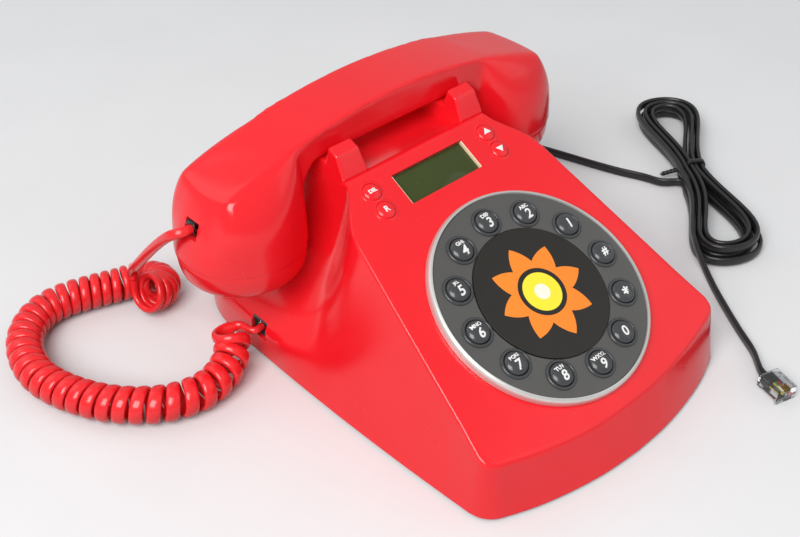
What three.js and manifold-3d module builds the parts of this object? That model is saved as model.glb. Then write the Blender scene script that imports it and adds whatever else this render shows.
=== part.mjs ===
// Corded desk telephone with a round push-button dial.
// Millimetres. +X to the right seen from the front, +Y to the back, +Z up. Origin under the feet's middle.
import * as THREE from 'three';
import { mergeVertices } from 'three/addons/utils/BufferGeometryUtils.js';
import Module from 'manifold-3d';

const wasm = await Module();
wasm.setup();

// General sizes
const fit = 0.3; // gap between pieces that touch
const overrun = 4; // how far a cutter runs past what it cuts
const wall = 2.5; // moulded wall of the housing and the handset
const footHeight = 1.5;
const wideSides = 32; // of dial, bezel and caps
const barSides = 10;
const smallSides = 8;

// Housing
const halfWidth = 72;
const halfDepth = 107;
const rimTaper = 4.2; // how much narrower the rim would be at the front than at the middle
const faceSlope = THREE.MathUtils.degToRad(28.6);
const dialY = -52.3;
const dialZ = 46.9;
const faceUp = 78.9; // dial centre to the top edge of the face, along the slope
const faceDown = 53.6; // dial centre to the front edge of the face, along the slope
const faceFrontHalf = 66;
const faceKinkHalf = 52;
const faceFrontV = -40; // the face edges run straight from here
const faceKinkV = 50; // to here, and then draw in to the cradle
const drawInPower = 2.2;
const towerHalf = 38.5;
const towerSideZ = 65; // the tower's side is upright above this height
const flareFootZ = 19; // and flares out to the rim down to this height
const flarePower = 2;
const cradleY = 45;
const cradleBackHalf = 28; // cradle middle to the top of the rear slope
const troughDrop = 4;
const seatRise = 4.03; // seat of the handle above the top edge of the face
const rearPower = 3; // plan rounding of the rear corners at the rim
const rearPowerTop = 8;

// Cradle horns
const hornInner = 25.2;
const hornFrontLean = 5;
const hornTopDepth = 5.3;
const hornFrontRise = 9.1;
const hornBackRise = 11.4;
const hornBackLean = 2;
const hornDraft = 1.2;
const hornInset = 0.4;

// Handset
const cupSpacing = 142;
const cupRadius = 27;
const cupTall = 45.8; // top of the handle to the seam between shell and caps
const capTall = 12.5; // seam to the bottom of the caps
const handleSag = 10.4; // drop of the handle's top line at the cup centres
const handleHalf = 14.8;
const handleThick = 16.3;
const archInset = 11.2; // where the handle starts to deepen, before its ends
const archLength = 12;
const archDrop = 15;
const archPower = 2.5;

// Dial
const keyCircle = 35.4;
const keyCount = 12;
const bezelOuter = 47;
const bezelInner = 44.7;
const bezelHeight = 4;
const plateTop = 3.2;
const discRadius = 28.6;
const discProud = 0.3;
const discThick = 0.9;
const keyRadius = 4.8;
const keyEdgeRise = 1.6;
const keyDomeRise = 3.2;
const keyTravel = 1.6;
const keyFlange = 0.7;
const collarWidth = 1.1;
const collarRise = 0.6;

// Display and function keys
const windowHalf = 19.5;
const windowTall = 14.6;
const windowV = 65.2;
const buttonRadius = 3.9;
const buttonRise = 1.8;
const buttonTravel = 1.2;
const buttonFlange = 0.4;
const buttonU = 31.4;
const buttonVs = [70.1, 60.8];

// Cords
const curlOuter = 16;
const curlWide = 3.5; // width of the flattened strand, along the coil
const curlThick = 2.6;
const curlCount = 36;
const strandRound = 3.2;
const lineWide = 4.4;
const lineThick = 2.2;
const lineRound = 3.2;
const gapWanted = 0.4;

const colours = {
  red: new THREE.Color(0xe3202b),
  darkGrey: new THREE.Color(0x3a3a3c),
  black: new THREE.Color(0x151515),
  silver: new THREE.Color(0xb9bbbd),
  cream: new THREE.Color(0xe8d8b0),
  olive: new THREE.Color(0x46502f),
  steel: new THREE.Color(0x8d9094),
  green: new THREE.Color(0x1f6a3a),
  rubber: new THREE.Color(0x202020),
  clear: new THREE.Color(0xdfe6ea),
};
const finishes = {
  redPlastic: [colours.red, 0.22, 0],
  greyPlastic: [colours.darkGrey, 0.45, 0],
  keyPlastic: [colours.black, 0.25, 0],
  blackDisc: [colours.black, 0.35, 0],
  silverPlastic: [colours.silver, 0.35, 0.7],
  creamPlastic: [colours.cream, 0.5, 0],
  display: [colours.olive, 0.2, 0],
  steelParts: [colours.steel, 0.4, 0.9],
  circuitBoard: [colours.green, 0.5, 0],
  rubberParts: [colours.rubber, 0.8, 0],
  clearPlastic: [colours.clear, 0.1, 0],
  redCord: [colours.red, 0.3, 0],
  blackCord: [colours.black, 0.35, 0],
};

// Geometry helpers

function solid(geometry) {
  const bare = geometry.index ? geometry.toNonIndexed() : geometry.clone();
  bare.deleteAttribute('normal');
  bare.deleteAttribute('uv');
  const merged = mergeVertices(bare, fit / 1000);
  const index = merged.index.array;
  const kept = [];
  for (let i = 0; i < index.length; i += 3) {
    const [a, b, c] = [index[i], index[i + 1], index[i + 2]];
    if (a !== b && b !== c && c !== a) kept.push(a, b, c);
  }
  const places = merged.attributes.position.array;
  let volume = 0;
  const corner = (i) => new THREE.Vector3(places[3 * i], places[3 * i + 1], places[3 * i + 2]);
  for (let i = 0; i < kept.length; i += 3) {
    volume += corner(kept[i]).dot(corner(kept[i + 1]).cross(corner(kept[i + 2])));
  }
  if (volume < 0) kept.reverse();
  const vertProperties = new Float32Array(places);
  const triVerts = new Uint32Array(kept);
  return new wasm.Manifold(new wasm.Mesh({ numProp: 3, vertProperties, triVerts }));
}

function geometryOf(body) {
  const mesh = body.getMesh();
  const geometry = new THREE.BufferGeometry();
  geometry.setAttribute('position', new THREE.BufferAttribute(mesh.vertProperties, 3));
  geometry.setIndex(new THREE.BufferAttribute(mesh.triVerts, 1));
  return geometry;
}

// A closed body through a list of rings with the same number of points, capped at both ends.
function loft(rings) {
  const count = rings[0].length;
  const places = [];
  const index = [];
  rings.forEach((ring) => ring.forEach((p) => places.push(p.x, p.y, p.z)));
  for (let r = 0; r + 1 < rings.length; r++) {
    for (let i = 0; i < count; i++) {
      const j = (i + 1) % count;
      const [a, b] = [r * count + i, r * count + j];
      index.push(a, b, b + count, a, b + count, a + count);
    }
  }
  const cap = (ring, first, flip) => {
    const middle = new THREE.Vector3();
    ring.forEach((p) => middle.addScaledVector(p, 1 / count));
    const hub = places.length / 3;
    places.push(middle.x, middle.y, middle.z);
    for (let i = 0; i < count; i++) {
      const [a, b] = [first + i, first + ((i + 1) % count)];
      index.push(...(flip ? [hub, b, a] : [hub, a, b]));
    }
  };
  cap(rings[0], 0, true);
  cap(rings[rings.length - 1], (rings.length - 1) * count, false);
  const geometry = new THREE.BufferGeometry();
  geometry.setAttribute('position', new THREE.Float32BufferAttribute(places, 3));
  geometry.setIndex(index);
  return geometry;
}

function box(wide, deep, tall, x, y, z) {
  return new THREE.BoxGeometry(wide, deep, tall).translate(x, y, z);
}

// A box from its lowest to its highest corner.
function boxBetween(low, high) {
  const size = high.map((value, i) => value - low[i]);
  const middle = high.map((value, i) => (value + low[i]) / 2);
  return box(...size, ...middle);
}

// A round bar along Z from one height to another.
function bar(radius, low, high, x, y, sides) {
  const geometry = new THREE.CylinderGeometry(radius, radius, high - low, sides);
  return geometry.rotateX(Math.PI / 2).translate(x, y, (low + high) / 2);
}

// Places on a circle, the first one in the direction of +X.
function around(count, radius, x, y) {
  return Array.from({ length: count }, (_, i) => {
    const turn = (2 * Math.PI * i) / count;
    return [x + radius * Math.cos(turn), y + radius * Math.sin(turn)];
  });
}

// A turned body about Z from points of radius and height.
function turned(profile, sides) {
  const points = profile.map(([radius, height]) => new THREE.Vector2(radius, height));
  return new THREE.LatheGeometry(points, sides).rotateX(Math.PI / 2);
}

function extruded(outline, low, high) {
  const shape = new THREE.Shape(outline.map(([x, y]) => new THREE.Vector2(x, y)));
  return new THREE.ExtrudeGeometry(shape, { depth: high - low, bevelEnabled: false }).translate(0, 0, low);
}

// An outline of Y and Z, extruded along X.
function alongX(outline, low, high) {
  return extruded(outline, low, high).rotateY(Math.PI / 2).rotateX(Math.PI / 2);
}

function joined(...geometries) {
  return geometries.map(solid).reduce((sum, body) => sum.add(body));
}

function cut(body, ...geometries) {
  return geometries.map(solid).reduce((rest, tool) => rest.subtract(tool), body);
}

// Scene helpers

const phone = new THREE.Group();
const face = new THREE.Group(); // X across the face, Y up its slope, Z out of it
face.position.set(0, dialY, dialZ);
face.rotation.x = faceSlope;
phone.add(face);
face.updateMatrix();

function piece(name, shape, finish, parent = phone) {
  const geometry = shape.getMesh ? geometryOf(shape) : geometryOf(solid(shape));
  const [color, roughness, metalness] = finishes[finish];
  const mesh = new THREE.Mesh(geometry, new THREE.MeshStandardMaterial({ color, roughness, metalness }));
  mesh.name = name;
  parent.add(mesh);
  return mesh;
}

function onFace(geometry) {
  return geometry.applyMatrix4(face.matrix);
}

// Housing walls

const faceAt = (v) => ({ y: dialY + v * Math.cos(faceSlope), z: dialZ + v * Math.sin(faceSlope) });
const faceHeight = (y) => dialZ + (y - dialY) * Math.tan(faceSlope);
const faceEdgeHalf = (y) => {
  const v = (y - dialY) / Math.cos(faceSlope);
  return faceFrontHalf + ((faceKinkHalf - faceFrontHalf) * (v - faceFrontV)) / (faceKinkV - faceFrontV);
};
const faceTop = faceAt(faceUp);
const seatZ = faceTop.z + seatRise;
const trayZ = faceTop.z - troughDrop;
const kinkY = faceAt(faceKinkV).y;
const rearTopY = cradleY + cradleBackHalf;

// Front skirt, from the middle to the right corner: rim width and depth, then face edge width and depth.
const skirtShares = [
  [0, 1, 0, 1],
  [0.24, 0.991, 0.235, 0.993],
  [0.458, 0.968, 0.462, 0.961],
  [0.667, 0.933, 0.682, 0.909],
  [0.82, 0.895, 0.864, 0.851],
  [0.901, 0.869, 0.942, 0.821],
  [0.947, 0.832, 0.988, 0.774],
  [0.964, 0.79, 1, 0.7],
];
const sideShares = [-0.64, -0.47, -0.28, -0.08, -0.02, 0.04, 0.1, 0.16, 0.28, 0.42]; // of the half depth
const rearAngles = [15, 30, 45, 60, 75].map((a) => THREE.MathUtils.degToRad(a));
const levelHeights = [footHeight, flareFootZ, 26, 36, 49, towerSideZ, 88];

function scoopHalf(z) {
  if (z >= towerSideZ) return towerHalf;
  const share = Math.min(1, (towerSideZ - z) / (towerSideZ - flareFootZ));
  return towerHalf + (halfWidth - towerHalf) * share ** flarePower;
}

function sideHalf(y, z) {
  const rimHalf = halfWidth - rimTaper * (y / halfDepth) ** 2;
  const leaning = rimHalf + ((faceEdgeHalf(y) - rimHalf) * (z - footHeight)) / (faceHeight(y) - footHeight);
  if (y <= kinkY) return leaning;
  const share = Math.min(1, (y - kinkY) / (faceTop.y - kinkY)) ** drawInPower;
  return leaning * (1 - share) + Math.min(scoopHalf(z), rimHalf) * share;
}

function rearY(z) {
  const share = Math.max(0, (z - flareFootZ) / (faceTop.z - flareFootZ));
  return halfDepth + (rearTopY - halfDepth) * share;
}

// One level of the housing's outer wall, drawn in by an inset.
function housingRing(z, inset) {
  const half = skirtShares.map(([rimX, rimY, edgeX, edgeY]) => {
    const edge = faceAt(-edgeY * faceDown);
    const share = (z - footHeight) / (edge.z - footHeight);
    const x = rimX * halfWidth + (edgeX * faceFrontHalf - rimX * halfWidth) * share;
    return [x, -rimY * halfDepth + (edge.y + rimY * halfDepth) * share];
  });
  sideShares.forEach((share) => half.push([sideHalf(share * halfDepth, z), share * halfDepth]));
  const rise = Math.min(1, Math.max(0, (z - flareFootZ) / (towerSideZ - flareFootZ)));
  const power = 2 / (rearPower + (rearPowerTop - rearPower) * rise);
  const [sideX, sideY] = half[half.length - 1];
  rearAngles.forEach((angle) => {
    half.push([sideX * Math.cos(angle) ** power, sideY + (rearY(z) - sideY) * Math.sin(angle) ** power]);
  });
  half.push([0, rearY(z)]);
  const mirrored = half.slice(1, -1).reverse().map(([x, y]) => [-x, y]);
  const ring = [...half, ...mirrored].map(([x, y]) => new THREE.Vector2(x, y));
  return ring.map((point, i) => {
    const before = ring[(i + ring.length - 1) % ring.length];
    const after = ring[(i + 1) % ring.length];
    const along = after.clone().sub(before).normalize();
    return new THREE.Vector3(point.x - along.y * inset, point.y + along.x * inset, z);
  });
}

function housingBody(inset, low) {
  const rings = levelHeights.map((z) => housingRing(z, inset));
  if (low < footHeight) rings.unshift(rings[0].map((p) => p.clone().setZ(low)));
  return loft(rings);
}

// Side profile that trims the walls: sloping face, trough under the handle, rear edge.
function profileBody(inset, low) {
  const down = inset / Math.cos(faceSlope);
  const front = -halfDepth - overrun;
  const rear = halfDepth + overrun;
  const troughShares = [[-0.85, 0.45], [-0.6, 0.8], [0, 1], [0.6, 0.8], [0.85, 0.45]];
  const trough = troughShares.map(([along, drop]) => [
    cradleY + along * cradleBackHalf,
    faceTop.z - drop * troughDrop - inset,
  ]);
  const outline = [
    [front, low],
    [rear, low],
    [rear, faceTop.z - inset],
    [rearTopY, faceTop.z - inset],
    ...trough.reverse(),
    [faceTop.y, faceTop.z - down],
    [front, faceHeight(front) - down],
  ];
  const across = halfWidth + overrun;
  return alongX(outline, -across, across);
}

// Horns in front of the handle and behind it, with the seat between them, on one side.
function hornPair(side) {
  const half = [
    [faceTop.y + hornFrontLean, trayZ - wall / 2],
    [faceTop.y, faceTop.z],
    [faceTop.y + hornFrontLean, faceTop.z + hornFrontRise],
    [faceTop.y + hornFrontLean + hornTopDepth, faceTop.z + hornBackRise],
    [faceTop.y + hornFrontLean + hornTopDepth + hornBackLean, seatZ],
  ];
  const rear = half.map(([y, z]) => [2 * cradleY - y, z]).reverse();
  const geometry = alongX([...half, ...rear], hornInner, towerHalf - hornInset);
  const place = geometry.attributes.position;
  for (let i = 0; i < place.count; i++) {
    const share = (place.getZ(i) - faceTop.z) / hornBackRise;
    const lean = place.getX(i) < towerHalf - wall ? hornDraft : -hornDraft / 2;
    place.setX(i, side * (place.getX(i) + lean * Math.max(0, share)));
  }
  return geometry;
}

// Openings in the housing
const dialHole = keyCircle + keyRadius + keyFlange + wall - fit;
const buttonHole = buttonRadius + fit;
const buttonPlaces = buttonVs.flatMap((v) => [[-buttonU, v], [buttonU, v]]);
const faceCuts = [
  bar(dialHole, -wall - overrun, overrun, 0, 0, wideSides),
  box(2 * windowHalf, windowTall, 2 * (wall + overrun), 0, windowV, 0),
  ...buttonPlaces.map(([u, v]) => bar(buttonHole, -wall - overrun, overrun, u, v, barSides)),
].map(onFace);

const plungerX = (hornInner + towerHalf) / 2;
const plungerRadius = 3.2;
const plungerHole = plungerRadius + fit;
const plungerCuts = [-1, 1].map((side) => {
  return bar(plungerHole, trayZ - overrun, seatZ + overrun, side * plungerX, cradleY, barSides);
});

const jackY = 40;
const jackZ = 15.2;
const jackSetBack = 3; // the mouth of the jack behind the wall's inner face
const plugWide = 7.65;
const plugTall = 6.5;
const plugLong = 12;
const socketWide = plugWide + 2 * fit;
const socketTall = plugTall + 2 * fit;
const socketWall = 2;
const jackCut = boxBetween(
  [-halfWidth - overrun, jackY - socketWide / 2, jackZ - socketTall / 2],
  [-halfWidth + wall + overrun, jackY + socketWide / 2, jackZ + socketTall / 2],
);

const reliefX = 25;
const reliefSetIn = 0.8; // how far the curved rear wall is inside the half depth there
const reliefY = halfDepth - reliefSetIn;
const reliefZ = 9.5;
const reliefNeck = 3.6;
const reliefCut = bar(reliefNeck + fit, -wall - overrun, wall + overrun, 0, 0, barSides)
  .rotateX(Math.PI / 2).translate(reliefX, reliefY - wall / 2, reliefZ);

const postRadius = 4;
const screwRadius = 1.25;
const screwHead = 3;
const screwLong = 12;
const plateThick = 2.5;
const basePlateTop = footHeight + plateThick;
const frontPostInX = 20; // from the half width
const frontPostInY = 33; // from the half depth
const rearPostInX = 16;
const rearPostPast = 24; // behind the middle of the jack
const frontPostY = frontPostInY - halfDepth;
const rearPostY = jackY + rearPostPast;
const postPlaces = [
  ...[-1, 1].map((side) => [side * (halfWidth - frontPostInX), frontPostY]),
  ...[-1, 1].map((side) => [side * (halfWidth - rearPostInX), rearPostY]),
];
const postLow = basePlateTop + fit;

function housing() {
  const outer = solid(housingBody(0, footHeight)).intersect(solid(profileBody(0, footHeight)));
  const inner = solid(housingBody(wall, -overrun)).intersect(solid(profileBody(wall, -overrun)));
  const posts = joined(...postPlaces.map(([x, y]) => bar(postRadius, postLow, dialZ, x, y, smallSides)));
  const shell = outer.subtract(inner).add(posts.intersect(outer));
  const horned = shell.add(joined(hornPair(-1), hornPair(1)));
  const pilots = postPlaces.map(([x, y]) => {
    return bar(screwRadius + fit, -overrun, footHeight + screwLong + fit, x, y, smallSides);
  });
  return cut(horned, ...faceCuts, ...plungerCuts, jackCut, reliefCut, ...pilots);
}

piece('upper_housing', housing(), 'redPlastic');

// Base plate, its pedestals and what lies on it
const jackDepth = 13;
const jackX = -halfWidth + wall + jackSetBack;
const jackLow = jackZ - socketTall / 2 - socketWall;
const boardThick = 1.6;
const boardGap = 1.1;
const boardInset = 27;
const boardHalfWide = halfWidth - boardInset;
const boardFrontY = -4;
const boardRearY = 76;
const boardZ = basePlateTop + boardGap;
const boardTop = boardZ + boardThick;
const speakerInset = 36;
const speakerX = halfWidth - speakerInset;
const speakerRadius = 20;
const speakerTall = 9;
const ballastInX = 26;
const ballastInY = 23;
const ballastApart = 8; // from the speaker
const ballastLeft = ballastInX - halfWidth;
const ballastRight = speakerX - speakerRadius - ballastApart;
const ballastFront = ballastInY - halfDepth;
const ballastRear = boardFrontY - ballastApart;
const speakerY = (ballastFront + ballastRear) / 2;
const grilleHole = 1.6;
const grilleHoles = 6;
const holeSides = 6;
const grilleCircle = 10;

function basePlate() {
  const slab = loft([footHeight, basePlateTop].map((z) => housingRing(z, wall + fit)));
  const standoffs = [-1, 1].flatMap((side) => [boardFrontY, boardRearY].map((y) => {
    const inset = y < 0 ? postRadius : -postRadius;
    const x = side * (boardHalfWide - postRadius);
    return bar(postRadius, footHeight, boardZ - fit, x, y + inset, smallSides);
  }));
  const pedestal = boxBetween(
    [jackX, jackY - socketWide / 2, footHeight],
    [jackX + jackDepth, jackY + socketWide / 2, jackLow - fit],
  );
  const heads = postPlaces.map(([x, y]) => {
    return bar(screwHead + fit, -overrun, footHeight + wall / 2, x, y, smallSides);
  });
  const shanks = postPlaces.map(([x, y]) => {
    return bar(screwRadius + fit, -overrun, basePlateTop + overrun, x, y, smallSides);
  });
  const grille = around(grilleHoles, grilleCircle, speakerX, speakerY).map(([x, y]) => {
    return bar(grilleHole, -overrun, basePlateTop + overrun, x, y, holeSides);
  });
  return cut(joined(slab, ...standoffs, pedestal), ...heads, ...shanks, ...grille);
}

piece('base_plate', basePlate(), 'greyPlastic');

postPlaces.forEach(([x, y], i) => {
  const headLow = footHeight + fit;
  const headHigh = footHeight + wall / 2 - fit;
  const screw = joined(
    bar(screwHead, headLow, headHigh, x, y, smallSides),
    bar(screwRadius, headLow, footHeight + screwLong, x, y, smallSides),
  );
  piece(`base_screw_${i + 1}`, screw, 'steelParts');
});

const padRadius = 6.5;
const padInX = 24;
const frontPadInY = 19;
const rearPadInY = 25;
const padX = halfWidth - padInX;
const padPlaces = [frontPadInY - halfDepth, halfDepth - rearPadInY].flatMap((y) => [[-padX, y], [padX, y]]);
padPlaces.forEach(([x, y], i) => {
  piece(`rubber_foot_${i + 1}`, bar(padRadius, 0, footHeight - fit / 2, x, y, barSides), 'rubberParts');
});

const weightLow = basePlateTop + fit;
const weightThick = 5;
piece('ballast_weight', boxBetween(
  [ballastLeft, ballastFront, weightLow],
  [ballastRight, ballastRear, weightLow + weightThick],
), 'steelParts');
piece('main_board', boxBetween(
  [-boardHalfWide, boardFrontY, boardZ],
  [boardHalfWide, boardRearY, boardTop],
), 'circuitBoard');

const speakerLow = basePlateTop + fit;
const speakerShares = [[0, 0], [1, 0], [1, 0.33], [0.5, 0.67], [0.5, 1], [0, 1]]; // of radius and height
piece('ringer_speaker', turned(
  speakerShares.map(([r, h]) => [r * speakerRadius, h * speakerTall]),
  barSides,
).translate(speakerX, speakerY, speakerLow), 'steelParts');

// A modular socket: a block open at one end, with its mouth towards -X.
function socket(mouthX, y, z) {
  const outer = boxBetween(
    [mouthX, y - socketWide / 2 - socketWall, z - socketTall / 2 - socketWall],
    [mouthX + jackDepth, y + socketWide / 2 + socketWall, z + socketTall / 2 + socketWall],
  );
  const hollow = boxBetween(
    [mouthX - overrun, y - socketWide / 2, z - socketTall / 2],
    [mouthX + plugLong, y + socketWide / 2, z + socketTall / 2],
  );
  return cut(solid(outer), hollow);
}

piece('handset_jack', socket(jackX, jackY, jackZ), 'greyPlastic');

// Hook switch, spring and yoke under the cradle
const switchTall = 10;
const switchWide = 14;
const switchDeep = 20;
const switchLow = boardTop + fit;
const switchTop = switchLow + switchTall;
const stemRadius = 2;
const springRadius = 5;
const springWire = 0.9;
const springTurns = 5;
const springTall = 17;
const collarLow = switchTop + springTall + 2 * fit;
const collarThick = 2;
const yokeLow = 64;
const yokeThick = 5;

piece('hook_switch', boxBetween(
  [-switchWide / 2, cradleY - switchDeep / 2, switchLow],
  [switchWide / 2, cradleY + switchDeep / 2, switchTop],
), 'greyPlastic');

function hookYoke() {
  const beam = boxBetween(
    [-plungerX - plungerRadius, cradleY - stemRadius, yokeLow],
    [plungerX + plungerRadius, cradleY + stemRadius, yokeLow + yokeThick],
  );
  const plungers = [-1, 1].map((side) => {
    return bar(plungerRadius, yokeLow, seatZ, side * plungerX, cradleY, barSides);
  });
  const stem = bar(stemRadius, switchTop + fit, yokeLow + yokeThick / 2, 0, cradleY, smallSides);
  const collar = bar(springRadius + 2 * springWire, collarLow, collarLow + collarThick, 0, cradleY, barSides);
  return joined(beam, ...plungers, stem, collar);
}

piece('hook_yoke', hookYoke(), 'greyPlastic');

// Wound tubes: each place has a centre and two half axes of the section.
const woundSides = 5;

function woundTube(places, sides) {
  return loft(places.map(({ at, out, side }) => Array.from({ length: sides }, (_, i) => {
    const turn = (2 * Math.PI * i) / sides;
    return at.clone().addScaledVector(out, Math.cos(turn)).addScaledVector(side, Math.sin(turn));
  })));
}

function springPlaces() {
  const steps = springTurns * smallSides;
  const rise = springTall - 2 * springWire;
  return Array.from({ length: steps + 1 }, (_, i) => {
    const turn = (2 * Math.PI * i) / smallSides;
    const out = new THREE.Vector3(Math.cos(turn), Math.sin(turn), 0);
    const middle = new THREE.Vector3(0, cradleY, switchTop + fit + springWire + (rise * i) / steps);
    const at = middle.addScaledVector(out, springRadius);
    return { at, out: out.multiplyScalar(springWire), side: new THREE.Vector3(0, 0, springWire) };
  });
}

piece('hook_spring', woundTube(springPlaces(), woundSides), 'steelParts');

// Dial, built in the plane of the face
const keyFlangeRadius = keyRadius + keyFlange;
const keyHole = keyRadius + fit;
const flangeThick = 1.2;
const flangeTop = 0;
const plateLow = flangeTop + fit;
const flangeLow = flangeTop - flangeThick;
const matTop = flangeLow - keyTravel - fit;
const matThick = 1;
const keyBoardTop = matTop - matThick - fit;
const skirtInner = keyCircle + keyFlangeRadius + fit;
const skirtOuter = dialHole - fit;
const keyAngles = Array.from({ length: keyCount }, (_, i) => Math.PI / 2 - (2 * Math.PI * i) / keyCount);
const keyPlaces = keyAngles.map((a) => [keyCircle * Math.cos(a), keyCircle * Math.sin(a)]);

piece('dial_bezel', turned([
  [bezelInner, plateLow],
  [bezelOuter, plateLow],
  [bezelOuter, bezelHeight - fit * 2],
  [(bezelOuter + bezelInner) / 2, bezelHeight],
  [bezelInner, bezelHeight - fit * 2],
  [bezelInner, plateLow],
], wideSides), 'silverPlastic', face);

function dialPlate() {
  const plate = turned([
    [0, plateLow],
    [skirtInner, plateLow],
    [skirtInner, keyBoardTop + fit],
    [skirtOuter, keyBoardTop + fit],
    [skirtOuter, plateLow],
    [bezelInner - fit, plateLow],
    [bezelInner - fit, plateTop],
    [discRadius + fit, plateTop],
    [discRadius + fit, plateTop + discProud - discThick - fit],
    [0, plateTop + discProud - discThick - fit],
  ], wideSides);
  const collars = keyPlaces.map(([x, y]) => {
    return bar(keyHole + collarWidth, plateLow + fit, plateTop + collarRise, x, y, barSides);
  });
  const holes = keyPlaces.map(([x, y]) => bar(keyHole, -overrun, plateTop + overrun, x, y, barSides));
  return cut(joined(plate, ...collars), ...holes);
}

piece('dial_plate', dialPlate(), 'greyPlastic', face);
const discLow = plateTop + discProud - discThick;
piece('dial_center_disc', bar(discRadius, discLow, plateTop + discProud, 0, 0, wideSides), 'blackDisc', face);

const keyNames = ['3', '2', '1', 'hash', 'star', '0', '9', '8', '7', '6', '5', '4'];
const keyDomeShares = [[1, 0], [0.8, 0.62], [0.45, 0.92], [0, 1]]; // of radius and rise
const edgeZ = plateTop + keyEdgeRise;
const domeZ = plateTop + keyDomeRise;
keyPlaces.forEach(([x, y], i) => {
  const key = turned([
    [0, flangeLow],
    [keyFlangeRadius, flangeLow],
    [keyFlangeRadius, flangeTop],
    [keyRadius, flangeTop],
    ...keyDomeShares.map(([r, h]) => [r * keyRadius, edgeZ + h * (domeZ - edgeZ)]),
  ], barSides).translate(x, y, 0);
  piece(`dial_key_${keyNames[i]}`, key, 'keyPlastic', face);
});

const matRadius = skirtInner - fit;
piece('keypad_mat', bar(matRadius, matTop - matThick, matTop, 0, 0, wideSides), 'rubberParts', face);
const keyBoard = bar(skirtOuter, keyBoardTop - boardThick, keyBoardTop, 0, 0, wideSides);
piece('keypad_board', keyBoard, 'circuitBoard', face);

// Display and function keys, in the plane of the face
const frameBorder = 2;
const frameLip = 0.6;
const frameThick = 1.6;
const frameTop = -wall - fit;
const glassTop = frameTop - frameThick - fit;
const glassThick = 1.8;
const displayBoardTop = glassTop - glassThick - fit;
const displayBoardHalf = 36;

function displayFrame() {
  const [halfAcross, halfTall] = [windowHalf + frameBorder, windowTall / 2 + frameBorder];
  const block = boxBetween(
    [-halfAcross, windowV - halfTall, frameTop - frameThick],
    [halfAcross, windowV + halfTall, frameTop],
  );
  const opening = box(
    2 * (windowHalf - frameLip),
    windowTall - 2 * frameLip,
    2 * frameThick + overrun,
    0,
    windowV,
    frameTop,
  );
  return cut(solid(block), opening);
}

piece('display_frame', displayFrame(), 'creamPlastic', face);
piece('display_glass', boxBetween(
  [-windowHalf - frameBorder, windowV - windowTall / 2 - frameBorder, glassTop - glassThick],
  [windowHalf + frameBorder, windowV + windowTall / 2 + frameBorder, glassTop],
), 'display', face);
piece('display_board', boxBetween(
  [-displayBoardHalf, windowV - windowTall / 2 - frameBorder, displayBoardTop - boardThick],
  [displayBoardHalf, windowV + windowTall / 2 + frameBorder, displayBoardTop],
), 'circuitBoard', face);

const buttonDomeShares = [[1, 0.33], [0.75, 0.8], [0, 1]]; // of radius and rise
const buttonNames = ['delete', 'up', 'redial', 'down'];
const buttonFlangeTop = -wall - fit;
const buttonFlangeLow = buttonFlangeTop - flangeThick;
const buttonLow = displayBoardTop + fit + buttonTravel;
buttonPlaces.forEach(([u, v], i) => {
  const button = turned([
    [0, buttonLow],
    [buttonRadius / 2, buttonLow],
    [buttonRadius / 2, buttonFlangeLow],
    [buttonRadius + buttonFlange, buttonFlangeLow],
    [buttonRadius + buttonFlange, buttonFlangeTop],
    [buttonRadius, buttonFlangeTop],
    ...buttonDomeShares.map(([r, h]) => [r * buttonRadius, h * buttonRise]),
  ], barSides).translate(u, v, 0);
  piece(`function_key_${buttonNames[i]}`, button, 'redPlastic', face);
});

// Handset shell: a handle and two bell-shaped cups
const cupX = cupSpacing / 2;
const handleTopZ = seatZ + fit + handleThick;
const seamZ = handleTopZ - cupTall;
const capBottomZ = seamZ - capTall;
const handleTop = (x) => handleTopZ - handleSag * (x / cupX) ** 2;
const handleHalfAt = (x) => handleHalf + (x / cupX) ** 2;
const handleEndShare = 0.789; // of the cup radius, inwards from the cup's middle
const handleReach = cupX - handleEndShare * cupRadius;
const handleBottom = (x) => {
  const share = Math.max(0, (Math.abs(x) - handleReach + archInset) / archLength);
  return handleTopZ - handleThick - archDrop * share ** archPower;
};

// Each station of the cup's outline: angle on the round part from the inner side, place on the top outline
// as shares of the cup radius outwards and sideways, and how late the outline changes from one to the other.
const cupShares = [
  [0, -0.78, 0, 3],
  [24, -0.78, 0.28, 3],
  [46, -0.78, 0.52, 3],
  [64, -0.62, 0.57, 3],
  [78, -0.4, 0.575, 3],
  [90, -0.14, 0.58, 3],
  [102, 0.1, 0.585, 3],
  [116, 0.32, 0.59, 3],
  [132, 0.5, 0.575, 3],
  [146, 0.545, 0.4, 1.7],
  [163, 0.575, 0.2, 1.35],
  [180, 0.585, 0, 1.2],
];
const cupLevels = [0, 0.17, 0.36, 0.56, 0.74, 0.88, 1];

function cupPoint([angle, outShare, sideShare, late], level, inset, low) {
  const turn = THREE.MathUtils.degToRad(angle);
  const radius = cupRadius - inset;
  const out = outShare * cupRadius - Math.sign(outShare) * inset;
  const aside = sideShare * cupRadius - (sideShare > 0 ? inset : 0);
  const change = level ** late;
  const x = -radius * Math.cos(turn) * (1 - change) + out * change;
  const y = radius * Math.sin(turn) * (1 - change) + Math.max(0, aside) * change;
  const top = handleTop(cupX + out) - inset;
  const z = level === 0 ? low : seamZ + fit / 2 + level * (top - seamZ - fit / 2);
  return new THREE.Vector3(x, y, z);
}

function cupBody(side, inset, low) {
  const rings = cupLevels.map((level) => {
    const half = cupShares.map((station) => cupPoint(station, level, inset, low));
    const mirrored = half.slice(1, -1).reverse().map((p) => new THREE.Vector3(p.x, -p.y, p.z));
    const ring = [...half, ...mirrored];
    return ring.map((p) => new THREE.Vector3(side * (cupX + p.x), cradleY + p.y, p.z));
  });
  return loft(rings);
}

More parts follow.
